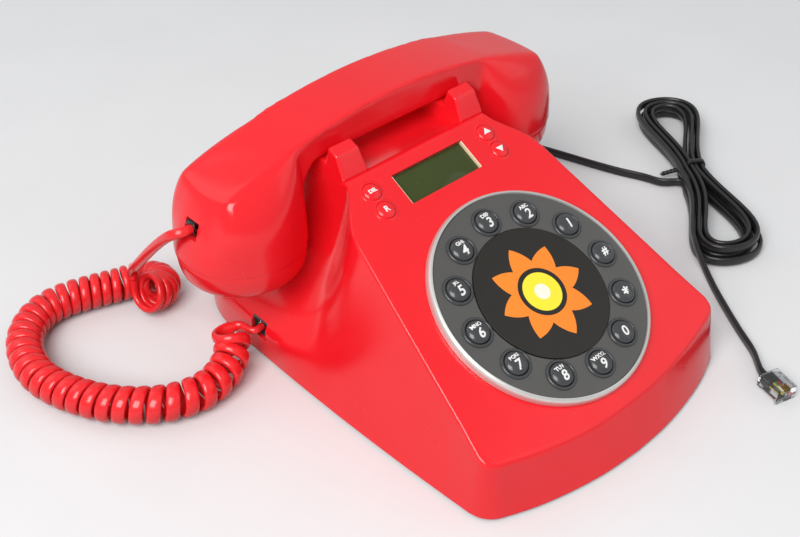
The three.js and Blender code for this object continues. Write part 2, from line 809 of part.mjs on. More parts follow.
const handleShares = [-1, -0.93, -0.86, -0.77, -0.66, -0.33, 0, 0.33, 0.66, 0.77, 0.86, 0.93, 1];
const handleEdge = 1.2;
const handleRound = 4;
const roundShare = 0.3; // of the round, left at its middle

function handleBody(inset) {
  const rings = handleShares.map((share) => {
    const x = share * handleReach;
    const half = handleHalfAt(x) - inset;
    const top = handleTop(x) - inset;
    const low = handleBottom(x) + inset;
    const right = [
      [half - handleEdge, top],
      [half, top - handleEdge],
      [half, low + handleRound],
      [half - handleRound * roundShare, low + handleRound * roundShare],
      [half - handleRound, low],
    ];
    const left = right.map(([y, z]) => [-y, z]).reverse();
    return [...right, ...left].map(([y, z]) => new THREE.Vector3(x, cradleY + y, z));
  });
  return loft(rings);
}

const handsetHoleRise = 15.5; // of the cord's hole above the seam
const handsetHoleZ = seamZ + handsetHoleRise;
const holeShare = 0.8; // of the cup radius, to the plug's outer end
const mouthShare = 0.56; // of the cup radius, to the socket's mouth
const handsetHoleX = -cupX - cupRadius * holeShare;
const handsetSocketX = -cupX - cupRadius * mouthShare;

function handsetShell() {
  const low = seamZ + fit / 2;
  const cups = [-1, 1].map((side) => solid(cupBody(side, 0, low)));
  const outer = cups.reduce((sum, body) => sum.add(body), solid(handleBody(0)));
  const hollows = [-1, 1].map((side) => solid(cupBody(side, wall, seamZ - overrun)));
  const inner = hollows.reduce((sum, body) => sum.add(body), solid(handleBody(wall)));
  const shelfTop = handsetHoleZ - socketTall / 2 - socketWall - fit;
  const shelf = boxBetween(
    [handsetSocketX - overrun * 2, cradleY - socketWide / 2, shelfTop - wall],
    [handsetSocketX + jackDepth, cradleY + socketWide / 2, shelfTop],
  );
  const shell = outer.subtract(inner).add(solid(shelf).intersect(outer));
  return cut(shell, boxBetween(
    [handsetHoleX - 2 * overrun, cradleY - socketWide / 2, handsetHoleZ - socketTall / 2],
    [handsetSocketX, cradleY + socketWide / 2, handsetHoleZ + socketTall / 2],
  ));
}

piece('handset_shell', handsetShell(), 'redPlastic');
piece('handset_socket', socket(handsetSocketX, cradleY, handsetHoleZ), 'greyPlastic');

const weightLength = 60;
const weightTall = 6;
const handleFloor = handleTopZ - handleThick + wall + fit;
piece('handset_weight', boxBetween(
  [-weightLength / 2, cradleY - handleHalf / 2, handleFloor],
  [weightLength / 2, cradleY + handleHalf / 2, handleFloor + weightTall],
), 'steelParts');

// Caps, from the flat face up to the spigot inside the shell
const capShares = [[0.8, 0], [0.87, 0.06], [0.93, 0.22], [0.965, 0.5], [0.98, 1]];
const capFloor = 2.4;
const capSides = 24;
const spigotTall = 2.5;
const spigotThick = 2.2;
const spigotSlack = 1;
const floorShare = 0.93; // of the spigot's inner radius, at the cap's floor

function cupCap(side, { holes, holeRadius, circle }) {
  const outline = capShares.map(([r, h]) => [r * cupRadius, capBottomZ + h * (seamZ - fit / 2 - capBottomZ)]);
  const spigotOuter = cupRadius - wall - fit - spigotSlack;
  const spigotInner = spigotOuter - spigotThick;
  const shell = turned([
    [0, capBottomZ],
    ...outline,
    [spigotOuter, seamZ - fit / 2],
    [spigotOuter, seamZ + spigotTall],
    [spigotInner, seamZ + spigotTall],
    [spigotInner * floorShare, capBottomZ + capFloor],
    [0, capBottomZ + capFloor],
  ], capSides).translate(side * cupX, cradleY, 0);
  const grille = around(holes, circle, side * cupX, cradleY).map(([x, y]) => {
    return bar(holeRadius, capBottomZ - overrun, capBottomZ + capFloor + overrun, x, y, holeSides);
  });
  return cut(solid(shell), ...grille);
}

const mouthGrille = { holes: 6, holeRadius: 1, circle: 6 };
const earGrille = { holes: 8, holeRadius: 1.3, circle: 9 };
piece('mouthpiece_cap', cupCap(-1, mouthGrille), 'redPlastic');
piece('earpiece_cap', cupCap(1, earGrille), 'redPlastic');

const capsuleLow = capBottomZ + capFloor + fit;
const microphoneRadius = 13;
const microphoneTall = 8;
const receiverRadius = 17;
const receiverTall = 9;
const microphoneHigh = capsuleLow + microphoneTall;
const receiverHigh = capsuleLow + receiverTall;
const microphone = bar(microphoneRadius, capsuleLow, microphoneHigh, -cupX, cradleY, capSides);
const receiver = bar(receiverRadius, capsuleLow, receiverHigh, cupX, cradleY, capSides);
piece('microphone_capsule', microphone, 'steelParts');
piece('receiver_capsule', receiver, 'steelParts');

// Plugs of the handset cord, with their mouths' fit
const plugIn = plugLong - fit;
const upperPlugX = handsetSocketX + plugIn;
const lowerPlugX = jackX + plugIn;
const upperPlugLong = upperPlugX - handsetHoleX;
const lowerPlugLong = 14;
const lowerPlugEnd = lowerPlugX - lowerPlugLong;

function plug(frontX, long, y, z) {
  return boxBetween(
    [frontX - long, y - plugWide / 2, z - plugTall / 2],
    [frontX, y + plugWide / 2, z + plugTall / 2],
  );
}

piece('handset_cord_plug_upper', plug(upperPlugX, upperPlugLong, cradleY, handsetHoleZ), 'clearPlastic');
piece('handset_cord_plug_lower', plug(lowerPlugX, lowerPlugLong, jackY, jackZ), 'clearPlastic');

// Free stretches of cord

function tube(points, radius, steps, sides) {
  const path = new THREE.CatmullRomCurve3(points, false, 'centripetal');
  const section = Array.from({ length: sides }, (_, i) => {
    const turn = (2 * Math.PI * i) / sides;
    return new THREE.Vector2(radius * Math.cos(turn), radius * Math.sin(turn));
  });
  return new THREE.ExtrudeGeometry(new THREE.Shape(section), { steps, extrudePath: path });
}

const pointOf = ([x, y, z]) => new THREE.Vector3(x, y, z);

// Least distance between the surface points of turns that lie beside each other.
const sameTurnShare = 0.7; // of a turn, within which points count as one and the same turn

function leastGap(places, sides, stepsPerTurn) {
  const rings = places.map(({ at, out, side }) => Array.from({ length: sides }, (_, i) => {
    const turn = (2 * Math.PI * i) / sides;
    return at.clone().addScaledVector(out, Math.cos(turn)).addScaledVector(side, Math.sin(turn));
  }));
  let least = Infinity;
  rings.forEach((ring, i) => rings.slice(i + Math.ceil(stepsPerTurn * sameTurnShare)).forEach((other) => {
    ring.forEach((p) => other.forEach((q) => {
      least = Math.min(least, p.distanceTo(q));
    }));
  }));
  return least;
}

// A wound tube's end, made straight for one diameter, square to its last section.
function straightEnd(place, inner, diameter) {
  const heading = place.out.clone().cross(place.side).normalize();
  if (heading.dot(inner.at.clone().sub(place.at)) > 0) heading.negate();
  return { ...place, at: place.at.clone().addScaledVector(heading, diameter), heading };
}

// Curly handset cord: the middle line of its coil on the table, from the handset's end to the jack's end
const coilZ = curlOuter / 2 + fit;
const coilRoute = [
  [-90, 95, 10], [-87.5, 102.5, 8.8], [-89.3, 111, coilZ], [-95.6, 117.4, coilZ], [-104, 120.9, coilZ],
  [-112.6, 123, coilZ], [-121.5, 123.6, coilZ], [-130, 122, coilZ], [-137.8, 117.4, coilZ],
  [-143.9, 110.6, coilZ], [-148.2, 102, coilZ], [-150.6, 92.5, coilZ], [-150.9, 83, coilZ],
  [-149, 73.5, coilZ], [-145.8, 64.5, coilZ], [-141.6, 56, coilZ], [-136.4, 48.4, coilZ],
  [-130, 41.6, coilZ], [-122.7, 36, coilZ], [-114.5, 32.4, coilZ], [-106, 31.2, coilZ],
  [-98, 32.6, 8.6], [-91, 36, 9.8], [-85.8, 40.4, 11.6], [-82.2, 46, 13.8],
];
const coilDivisions = 1000;
const stepsPerCurl = 8;
const curlSteps = curlCount * stepsPerCurl + 3;

function curlPlaces() {
  const middle = new THREE.CatmullRomCurve3(coilRoute.map(pointOf), false, 'centripetal');
  middle.arcLengthDivisions = coilDivisions;
  const winding = curlOuter / 2 - curlThick / 2;
  const up = new THREE.Vector3(0, 0, 1);
  const places = Array.from({ length: curlSteps + 1 }, (_, i) => {
    const turn = Math.PI + (2 * Math.PI * i) / stepsPerCurl;
    const along = middle.getTangentAt(i / curlSteps);
    const right = along.clone().cross(up).normalize();
    const over = right.clone().cross(along);
    const out = right.multiplyScalar(Math.cos(turn)).addScaledVector(over, Math.sin(turn));
    return { at: middle.getPointAt(i / curlSteps).addScaledVector(out, winding), out };
  });
  places.forEach((place, i) => {
    const [next, last] = [places[Math.min(i + 1, curlSteps)], places[Math.max(i - 1, 0)]];
    const along = next.at.clone().sub(last.at).normalize();
    place.side = along.cross(place.out).normalize().multiplyScalar(curlWide / 2);
  });
  places.forEach((place) => place.out.multiplyScalar(curlThick / 2));
  return places;
}

const curls = curlPlaces();
const curlStart = straightEnd(curls[0], curls[1], strandRound);
const curlEnd = straightEnd(curls[curlSteps], curls[curlSteps - 1], strandRound);
const coil = [curlStart, ...curls, curlEnd];
const coilGap = leastGap(coil, woundSides, stepsPerCurl);
console.log('curly cord: least gap to itself', coilGap.toFixed(2), 'mm, wanted more than', gapWanted);
piece('handset_cord_coil', woundTube(coil, woundSides), 'redCord');

const leadSteps = 16;
const tailSteps = 5;
const tailStraight = 4.4; // straight stretch of the strand at the jack
const joinTo = (end, distance) => end.at.clone().addScaledVector(end.heading, distance);
const leadRoute = [
  pointOf([handsetHoleX - fit, cradleY, handsetHoleZ]),
  ...[[-97.2, 45, 75.5], [-99.8, 47.6, 74.4], [-100.6, 52.8, 70.2], [-100.8, 59.4, 64], [-100.8, 67, 56.4],
    [-100.6, 75.4, 47.6], [-100.3, 84, 38], [-100, 91.8, 28.4]].map(pointOf),
  joinTo(curlStart, 2 * strandRound),
  joinTo(curlStart, strandRound),
  joinTo(curlStart, fit),
];
piece('handset_cord_lead', tube(leadRoute, strandRound / 2, leadSteps, smallSides), 'redCord');

const tailRoute = [
  joinTo(curlEnd, fit),
  joinTo(curlEnd, strandRound),
  pointOf([lowerPlugEnd - fit - tailStraight, jackY, jackZ]),
  pointOf([lowerPlugEnd - fit, jackY, jackZ]),
];
piece('handset_cord_tail', tube(tailRoute, strandRound / 2, tailSteps, smallSides), 'redCord');

// Line cord: strain relief, lead on the table, hank drawn in at its waist, tail and plug
const reliefCollar = 4.8;
const reliefLong = 12;
const collarThickness = 1.6;
const reliefTip = 2.2;
const reliefInside = 6.2; // how far it reaches into the housing

function strainRelief() {
  const innerFlange = -reliefInside;
  const relief = turned([
    [0, innerFlange],
    [reliefCollar, innerFlange],
    [reliefCollar, innerFlange + wall / 2],
    [reliefNeck, innerFlange + wall / 2],
    [reliefNeck, fit],
    [reliefCollar, fit],
    [reliefCollar, fit + collarThickness],
    [reliefTip, reliefLong],
    [0, reliefLong],
  ], barSides);
  return relief.rotateX(-Math.PI / 2).translate(reliefX, reliefY, reliefZ);
}

piece('line_strain_relief', strainRelief(), 'rubberParts');

const hankX = 165;
const hankY = -6;
const hankTurn = THREE.MathUtils.degToRad(51.4);
const hankHalf = 70;
const hankBulge = 17;
const hankWaist = 8.5;
const runStep = 3.4;
const waistStep = 3.2;
const tieThick = 0.7;
const layerLow = lineWide / 2 + tieThick + fit;
const layerRise = lineWide + 2 * gapWanted;
const loopSteps = 24;
const hankSides = 6;
const hankSteps = 5 * loopSteps + 3;
const hankFrom = THREE.MathUtils.degToRad(100);
const waistShare = 0.577; // of the waist's half width, at the bulge
const bulgeShare = 0.385; // of the swell, at the bulge
const climbShares = [0.472, 0.526]; // of the whole winding

function hankPlace(step) {
  const share = step / hankSteps;
  const turn = hankFrom + (2 * Math.PI * step) / loopSteps;
  const turns = step / loopSteps;
  const inwards = Math.min(turns, hankSteps / loopSteps - turns);
  const waist = hankWaist - waistStep * inwards;
  const swell = (hankBulge - runStep * inwards - waistShare * waist) / bulgeShare;
  const x = (hankHalf - runStep * inwards) * Math.cos(turn);
  const y = Math.sin(turn) * (waist + swell * Math.cos(turn) ** 2);
  const [climbFrom, climbTo] = climbShares;
  const climb = THREE.MathUtils.clamp((share - climbFrom) / (climbTo - climbFrom), 0, 1);
  return new THREE.Vector3(x, y, layerLow + layerRise * climb);
}

function hankPlaces() {
  const up = new THREE.Vector3(0, 0, 1);
  const centres = Array.from({ length: hankSteps + 1 }, (_, i) => {
    return hankPlace(i).applyAxisAngle(up, hankTurn).add(new THREE.Vector3(hankX, hankY, 0));
  });
  return centres.map((at, i) => {
    const along = centres[Math.min(i + 1, hankSteps)].clone().sub(centres[Math.max(i - 1, 0)]);
    const out = along.setZ(0).normalize().cross(up).multiplyScalar(lineThick / 2);
    return { at, out, side: up.clone().multiplyScalar(lineWide / 2) };
  });
}

const loops = hankPlaces();
const hankStart = straightEnd(loops[0], loops[1], lineWide);
const hankEnd = straightEnd(loops[hankSteps], loops[hankSteps - 1], lineWide);
const hank = [hankStart, ...loops, hankEnd];
const hankGap = leastGap(hank, hankSides, loopSteps);
console.log('line cord hank: least gap to itself', hankGap.toFixed(2), 'mm, wanted more than', gapWanted);
piece('line_cord_hank', woundTube(hank, hankSides), 'blackCord');

const lineLeadSteps = 32;
const lineTailSteps = 12;
const lineLeadRoute = [
  ...[[reliefX, reliefY + reliefLong + fit, reliefZ], [25.2, 125.5, 9.2], [28, 134, 6.8], [35, 141.5, 3.8],
    [47, 146, 2], [62, 145.8, 1.9], [78, 140.5, 1.9], [93, 130.5, 1.9], [106.5, 117, 1.9],
    [117.5, 101, 1.9], [125.5, 84.5, 1.9], [131.5, 69, 1.9], [136.4, 53, 1.9], [140.6, 38, 1.9],
    [145, 24, 2], [149.6, 12, 2.4], [152, 2.5, 2.9]].map(pointOf),
  joinTo(hankStart, lineWide),
  joinTo(hankStart, fit),
];
piece('line_cord_lead', tube(lineLeadRoute, lineRound / 2, lineLeadSteps, smallSides), 'blackCord');

const linePlugX = 67;
const linePlugY = -123.6;
const linePlugTurn = THREE.MathUtils.degToRad(-16);
const linePlugWide = 9.65;
const linePlugLong = 12.3;
const linePlugTall = 6.6;
const linePlugZ = linePlugTall / 2 + fit;
const linePlug = box(linePlugWide, linePlugLong, linePlugTall, 0, 0, 0).rotateZ(linePlugTurn);
piece('line_plug', linePlug.translate(linePlugX, linePlugY, linePlugZ), 'clearPlastic');

const linePlugBack = (distance) => new THREE.Vector3(0, linePlugLong / 2 + distance, 0)
  .applyAxisAngle(new THREE.Vector3(0, 0, 1), linePlugTurn)
  .add(new THREE.Vector3(linePlugX, linePlugY, linePlugZ));
const lineTailRoute = [
  joinTo(hankEnd, fit),
  joinTo(hankEnd, lineWide),
  ...[[108, -56, 6], [101, -67.5, 3.4], [93.5, -80, 2], [86, -92, 1.9], [78.8, -104, 2.2]].map(pointOf),
  linePlugBack(lineRound),
  linePlugBack(fit),
];
piece('line_cord_tail', tube(lineTailRoute, lineRound / 2, lineTailSteps, smallSides), 'blackCord');

// Tie round the hank's waist
const tieWide = 3;
const tieX = 4;

function hankTie() {
  const halfAcross = hankWaist + lineThick / 2 + gapWanted;
  const top = layerLow + layerRise + lineWide / 2 + fit;
  const outer = box(tieWide, 2 * (halfAcross + tieThick), top + tieThick, tieX, 0, (top + tieThick) / 2);
  const low = tieThick;
  const hollow = box(tieWide + overrun, 2 * halfAcross, top - low, tieX, 0, (top + low) / 2);
  const place = (geometry) => geometry.rotateZ(hankTurn).translate(hankX, hankY, 0);
  return cut(solid(place(outer)), place(hollow));
}

piece('line_cord_tie', hankTie(), 'blackCord');

export default phone;
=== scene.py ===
import math

import bmesh
import bpy
import numpy as np
from mathutils import Matrix, Vector


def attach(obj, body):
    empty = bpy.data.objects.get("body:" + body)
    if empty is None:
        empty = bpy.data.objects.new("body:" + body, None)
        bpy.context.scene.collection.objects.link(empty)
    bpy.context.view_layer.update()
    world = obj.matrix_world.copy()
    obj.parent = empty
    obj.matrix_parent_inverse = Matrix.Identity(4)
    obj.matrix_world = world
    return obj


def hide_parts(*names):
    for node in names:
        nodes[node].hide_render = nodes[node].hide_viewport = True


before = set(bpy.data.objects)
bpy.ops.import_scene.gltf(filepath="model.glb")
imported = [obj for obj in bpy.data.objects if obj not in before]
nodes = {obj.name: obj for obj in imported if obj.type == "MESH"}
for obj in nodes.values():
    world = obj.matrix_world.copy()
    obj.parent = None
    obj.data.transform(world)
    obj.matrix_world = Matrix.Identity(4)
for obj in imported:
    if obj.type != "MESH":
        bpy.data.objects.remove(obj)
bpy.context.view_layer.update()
MM = 0.001

# --- Sizes in mm, as in the part ---

FIT = 0.3
WALL = 2.5
FOOT_HEIGHT = 1.5
HALF_WIDTH, HALF_DEPTH, RIM_TAPER = 72, 107, 4.2
FACE_SLOPE = math.radians(28.6)
DIAL_Y, DIAL_Z = -52.3, 46.9
FACE_UP, FACE_DOWN = 78.9, 53.6
FACE_FRONT_HALF, FACE_KINK_HALF = 66, 52
FACE_FRONT_V, FACE_KINK_V = -40, 50
TOWER_HALF, TOWER_SIDE_Z, FLARE_FOOT_Z, REAR_FOOT_Z = 38.5, 65, 15, 19
CRADLE_Y, CRADLE_BACK_HALF, TROUGH_DROP, SEAT_RISE = 45, 28, 4, 4.03
REAR_POWER, REAR_POWER_TOP = 3, 8
HORN_INNER, HORN_LEAN, HORN_TOP_DEPTH = 25.2, 5, 5.3
HORN_FRONT_RISE, HORN_BACK_RISE, HORN_BACK_LEAN = 9.1, 11.4, 2
CUP_X, CUP_RADIUS, CUP_TALL, CAP_TALL = 71, 27, 45.8, 12.5
HANDLE_SAG, HANDLE_HALF, HANDLE_THICK = 10.4, 14.8, 16.3
KEY_CIRCLE, KEY_RADIUS, COLLAR_OUTER = 35.4, 4.8, 6.4
BEZEL_OUTER, BEZEL_CREST, BEZEL_HEIGHT = 47, 45.1, 4
PLATE_TOP, DISC_RADIUS, DISC_PROUD = 3.2, 28.6, 0.3
WINDOW_HALF, WINDOW_TALL, WINDOW_V = 19.5, 14.6, 65.2
BUTTON_RADIUS, BUTTON_GAP, BUTTON_U, BUTTON_VS = 3.9, 0.15, 31.4, (70.1, 60.8)
JACK_Y, JACK_Z = 40, 15.2
RELIEF = Vector((25, 106.2, 9.5))

PLUNGER_XS = (-(HORN_INNER + TOWER_HALF) / 2, (HORN_INNER + TOWER_HALF) / 2)
FACE_TOP_Y = DIAL_Y + FACE_UP * math.cos(FACE_SLOPE)
FACE_TOP_Z = DIAL_Z + FACE_UP * math.sin(FACE_SLOPE)
SEAT_Z = FACE_TOP_Z + SEAT_RISE
HANDLE_TOP_Z = SEAT_Z + FIT + HANDLE_THICK
SEAM_Z = HANDLE_TOP_Z - CUP_TALL
SEAM_GAP = 0.2
CAP_BOTTOM_Z = SEAM_Z - CAP_TALL
HOLE_Z = SEAM_Z + 15.5
ON_FACE = Matrix.Translation((0, DIAL_Y, DIAL_Z)) @ Matrix.Rotation(FACE_SLOPE, 4, "X")
MILLI = Matrix.Scale(MM, 4)

# --- Camera, at the photograph's place ---

CAMERA_AT = Vector((-0.2868, -0.3006, 0.3531))
AHEAD = Vector((0.51813, 0.59735, -0.61213))
ROLL = math.radians(1.81)
FOCAL_PIXELS, PHOTO_PIXELS, SENSOR_MM = 1238.84, 800, 36


def put_camera():
    ahead = AHEAD.normalized()
    level = ahead.cross(Vector((0, 0, 1))).normalized()
    right = level * math.cos(ROLL) + ahead.cross(level) * math.sin(ROLL)
    up = right.cross(ahead)
    camera = bpy.data.objects.new("camera", bpy.data.cameras.new("camera"))
    camera.data.lens = FOCAL_PIXELS / PHOTO_PIXELS * SENSOR_MM
    camera.data.sensor_width = SENSOR_MM
    camera.data.clip_start = 0.01
    rows = [(right[i], up[i], -ahead[i], CAMERA_AT[i]) for i in range(3)]
    camera.matrix_world = Matrix(rows + [(0, 0, 0, 1)])
    bpy.context.scene.collection.objects.link(camera)
    bpy.context.scene.camera = camera


put_camera()

# --- Ways of making ---


def deselect():
    bpy.ops.object.select_all(action="DESELECT")


def pick(obj):
    deselect()
    obj.select_set(True)
    bpy.context.view_layer.objects.active = obj


def named(name):
    """The object that was just added, with its name."""
    obj = bpy.context.active_object
    obj.name = name
    obj.data.name = name
    return obj


def close_up(obj, fill=True):
    """Merges what meets, fills the open ends and turns the faces outwards."""
    pick(obj)
    bpy.ops.object.mode_set(mode="EDIT")
    bpy.ops.mesh.select_all(action="SELECT")
    bpy.ops.mesh.remove_doubles(threshold=0.000002)
    bpy.ops.mesh.delete_loose()
    if fill:
        bpy.ops.mesh.select_all(action="SELECT")
        bpy.ops.mesh.fill_holes(sides=0)
    bpy.ops.mesh.select_all(action="SELECT")
    bpy.ops.mesh.normals_make_consistent(inside=False)
    bpy.ops.object.mode_set(mode="OBJECT")
    return obj


def skin(name, rings, fill=True):
    """A tube of quads through rings of places in mm, the seam merged and the ends filled."""
    deselect()
    count = len(rings[0])
    bpy.ops.mesh.primitive_grid_add(x_subdivisions=count, y_subdivisions=len(rings) - 1, size=1)
    obj = named(name)
    places = np.array([[*ring, ring[0]] for ring in rings], dtype=float) * MM
    obj.data.vertices.foreach_set("co", places.reshape(-1))
    obj.data.update()
    return close_up(obj, fill)


def turned(name, profile, steps=96):
    """A body turned about Z from places of radius and height in mm."""
    deselect()
    bpy.ops.mesh.primitive_circle_add(vertices=len(profile), radius=1, fill_type="NOTHING")
    obj = named(name)
    places = np.array([(r * MM, 0, z * MM) for r, z in profile], dtype=float)
    obj.data.vertices.foreach_set("co", places.reshape(-1))
    pick(obj)
    bpy.ops.object.mode_set(mode="EDIT")
    bpy.ops.mesh.select_all(action="SELECT")
    bpy.ops.mesh.spin(steps=steps, angle=2 * math.pi, center=(0, 0, 0), axis=(0, 0, 1))
    bpy.ops.object.mode_set(mode="OBJECT")
    return close_up(obj, fill=False)


def block(name, low, high, bevel=0, segments=3):
    """A block from its lowest to its highest corner in mm, with rounded edges."""
    deselect()
    bpy.ops.mesh.primitive_cube_add(size=1)
    obj = named(name)
    low, high = Vector(low), Vector(high)
    size = (high - low) * MM
    obj.data.transform(Matrix.Translation((low + high) / 2 * MM) @ Matrix.Diagonal((*size, 1)))
    if bevel:
        modify(obj, "BEVEL", width=bevel * MM, segments=segments, limit_method="NONE")
    return obj


def shift(obj, x, y, z=0):
    """Moves a mesh by a distance in mm."""
    obj.data.transform(Matrix.Translation(Vector((x, y, z)) * MM))
    return obj


def rod(name, radius, low, high, x=0, y=0, sides=48):
    """A cylinder along Z from low to high in mm."""
    deselect()
    bpy.ops.mesh.primitive_cylinder_add(vertices=sides, radius=radius * MM, depth=(high - low) * MM)
    return shift(named(name), x, y, (low + high) / 2)


def modify(obj, kind, **settings):
    """Adds a modifier with its settings and applies it."""
    pick(obj)
    modifier = obj.modifiers.new(kind.lower(), kind)
    for key, value in settings.items():
        setattr(modifier, key, value)
    bpy.ops.object.modifier_apply(modifier=modifier.name)
    return obj


def cut(obj, *tools, operation="DIFFERENCE"):
    for tool in tools:
        modify(obj, "BOOLEAN", operation=operation, object=tool, solver="EXACT")
        bpy.data.objects.remove(tool)
    return obj


def join(name, objs):
    deselect()
    for obj in objs:
        obj.select_set(True)
    bpy.context.view_layer.objects.active = objs[0]
    bpy.ops.object.join()
    return named(name)


def ramp(value, start, end):
    return min(1, max(0, (value - start) / (end - start)))


def soften(obj, weigh, iterations):
    """Smooths a mesh, each vertex by the weight that weigh gives for its place in mm."""
    group = obj.vertex_groups.new(name="soft")
    for vertex in obj.data.vertices:
        weight = weigh(*(vertex.co / MM))
        if weight > 0:
            group.add([vertex.index], weight, "REPLACE")
    modify(obj, "SMOOTH", factor=0.5, iterations=iterations, vertex_group="soft")
    obj.vertex_groups.clear()


def copy_of(obj, name, place):
    """A copy of a piece with its own mesh, moved by a distance in mm."""
    twin = obj.copy()
    twin.data = obj.data.copy()
    twin.name = twin.data.name = name
    bpy.context.scene.collection.objects.link(twin)
    return shift(twin, *place)


def copies(obj, names, places):
    """A copy of the piece for each name and place; the piece itself goes."""
    made = [copy_of(obj, name, place) for name, place in zip(names, places)]
    bpy.data.objects.remove(obj)
    return made


def on_face(obj):
    """Takes a mesh from the dial's frame, with Z out of the sloping face, to the part's frame."""
    obj.data.transform(MILLI.inverted())
    obj.data.transform(MILLI @ ON_FACE)
    return obj


def settle(obj, body, slot, finish, *replaced, smooth=35, flat_first=False):
    """Shades, paints and places a finished piece on its body."""
    pick(obj)
    bpy.ops.object.shade_smooth_by_angle(angle=math.radians(smooth))
    if flat_first:
        modify(obj, "WEIGHTED_NORMAL", mode="FACE_AREA", weight=50, keep_sharp=True)
    obj.data.materials.clear()
    obj.data.materials.append(finish)
    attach(obj, body)
    if replaced:
        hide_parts(*replaced)
    return obj


def smooth_path(points, steps=24):
    """A centripetal Catmull-Rom curve through the points."""
    points = [np.array(p, dtype=float) for p in points]
    ends = [2 * points[0] - points[1], *points, 2 * points[-1] - points[-2]]
    made = []
    for p0, p1, p2, p3 in zip(ends, ends[1:], ends[2:], ends[3:]):
        t1 = np.linalg.norm(p1 - p0) ** 0.5
        t2 = t1 + np.linalg.norm(p2 - p1) ** 0.5
        t3 = t2 + np.linalg.norm(p3 - p2) ** 0.5
        for t in np.linspace(t1, t2, steps, endpoint=False):
            a1 = ((t1 - t) * p0 + t * p1) / t1
            a2 = ((t2 - t) * p1 + (t - t1) * p2) / (t2 - t1)
            a3 = ((t3 - t) * p2 + (t - t2) * p3) / (t3 - t2)
            b1 = ((t2 - t) * a1 + t * a2) / t2
            b2 = ((t3 - t) * a2 + (t - t1) * a3) / (t3 - t1)
            made.append(((t2 - t) * b1 + (t - t1) * b2) / (t2 - t1))
    made.append(points[-1])
    return np.array(made)


def lengths_of(path):
    return np.concatenate([[0], np.cumsum(np.linalg.norm(np.diff(path, axis=0), axis=1))])


def spread(path, count):
    """Places along the path, all the same distance apart."""
    lengths = lengths_of(path)
    wanted = np.linspace(0, lengths[-1], count)
    return np.column_stack([np.interp(wanted, lengths, path[:, k]) for k in range(path.shape[1])])


def unit(vectors):
    return vectors / np.linalg.norm(vectors, axis=-1, keepdims=True)


def headings(path):
    return unit(np.gradient(path, axis=0))


def strand(name, path, outs, thick, wide, sides=14, power=2):
    """A tube along a path in mm: thick is its half size along outs, and wide across them."""
    along = headings(path)
    across = unit(np.cross(along, outs))
    outs = unit(np.cross(across, along))
    turn = np.linspace(0, 2 * math.pi, sides, endpoint=False)
    c = np.sign(np.cos(turn)) * np.abs(np.cos(turn)) ** (2 / power)
    s = np.sign(np.sin(turn)) * np.abs(np.sin(turn)) ** (2 / power)
    thick = np.broadcast_to(thick, len(path))
    wide = np.broadcast_to(wide, len(path))
    rings = [
        p + np.outer(c, o) * t + np.outer(s, w) * v
        for p, o, w, t, v in zip(path, outs, across, thick, wide)
    ]
    return skin(name, [list(ring) for ring in rings])


# --- Materials ---


def linear(code):
    """The linear colour of an sRGB hex code."""
    parts = [int(code[i : i + 2], 16) / 255 for i in (1, 3, 5)]
    return [*(c / 12.92 if c <= 0.04045 else ((c + 0.055) / 1.055) ** 2.4 for c in parts), 1]


def add(tree, kind, settings):
    """A node with its settings: a socket is linked, and a hex code becomes a colour."""
    new = tree.nodes.new(kind)
    for key, value in settings.items():
        if isinstance(value, bpy.types.NodeSocket):
            tree.links.new(value, new.inputs[key])
        elif isinstance(key, str) and hasattr(new, key):
            setattr(new, key, value)
        else:
            new.inputs[key].default_value = linear(value) if str(value).startswith("#") else value
    return new


def begin(name, **settings):
    """A new material with its shader and the object's own coordinates in metres."""
    made = bpy.data.materials.new(name)
    made.use_nodes = True
    tree = made.node_tree
    tree.nodes.clear()
    settings = {key.replace("_", " "): value for key, value in settings.items()}
    shader = add(tree, "ShaderNodeBsdfPrincipled", settings)
    add(tree, "ShaderNodeOutputMaterial", {"Surface": shader.outputs[0]})
    place = add(tree, "ShaderNodeTexCoord", {}).outputs["Object"]
    return made, tree, shader, place


def surface(tree, shader, place, roughness, scuffs, grain_mm, grain_depth):
    """Smears and hairlines in the roughness, and the mould's grain as relief."""
    turned_mm = {"Vector": place, "Scale": (60, 900, 300), "Rotation": (0.3, 0.5, 0.6)}
    stretched = add(tree, "ShaderNodeMapping", turned_mm).outputs[0]
    lines = add(tree, "ShaderNodeTexNoise", {"Vector": stretched, "Scale": 1.0, "Detail": 2.0})
    smears = add(tree, "ShaderNodeTexNoise", {"Vector": place, "Scale": 1 / 0.018, "Detail": 4.0})
    hairlines = {"Value": lines.outputs["Fac"], "From Min": 0.6, "From Max": 0.75}
    hairlines.update({"To Min": 0.0, "To Max": scuffs})
    smeared = {"Value": smears.outputs["Fac"], "From Min": 0.4, "From Max": 0.8}
    smeared.update({"To Min": roughness, "To Max": roughness + scuffs})
    hairlines = add(tree, "ShaderNodeMapRange", hairlines).outputs[0]
    smeared = add(tree, "ShaderNodeMapRange", smeared).outputs[0]
    rough = add(tree, "ShaderNodeMath", {"operation": "ADD", 0: hairlines, 1: smeared})
    tree.links.new(rough.outputs[0], shader.inputs["Roughness"])
    grain = add(tree, "ShaderNodeTexNoise", {"Vector": place, "Scale": 1 / (grain_mm * MM), "Detail": 2.0})
    relief = {"Height": grain.outputs["Fac"], "Strength": 0.35, "Distance": grain_depth * MM}
    tree.links.new(add(tree, "ShaderNodeBump", relief).outputs[0], shader.inputs["Normal"])


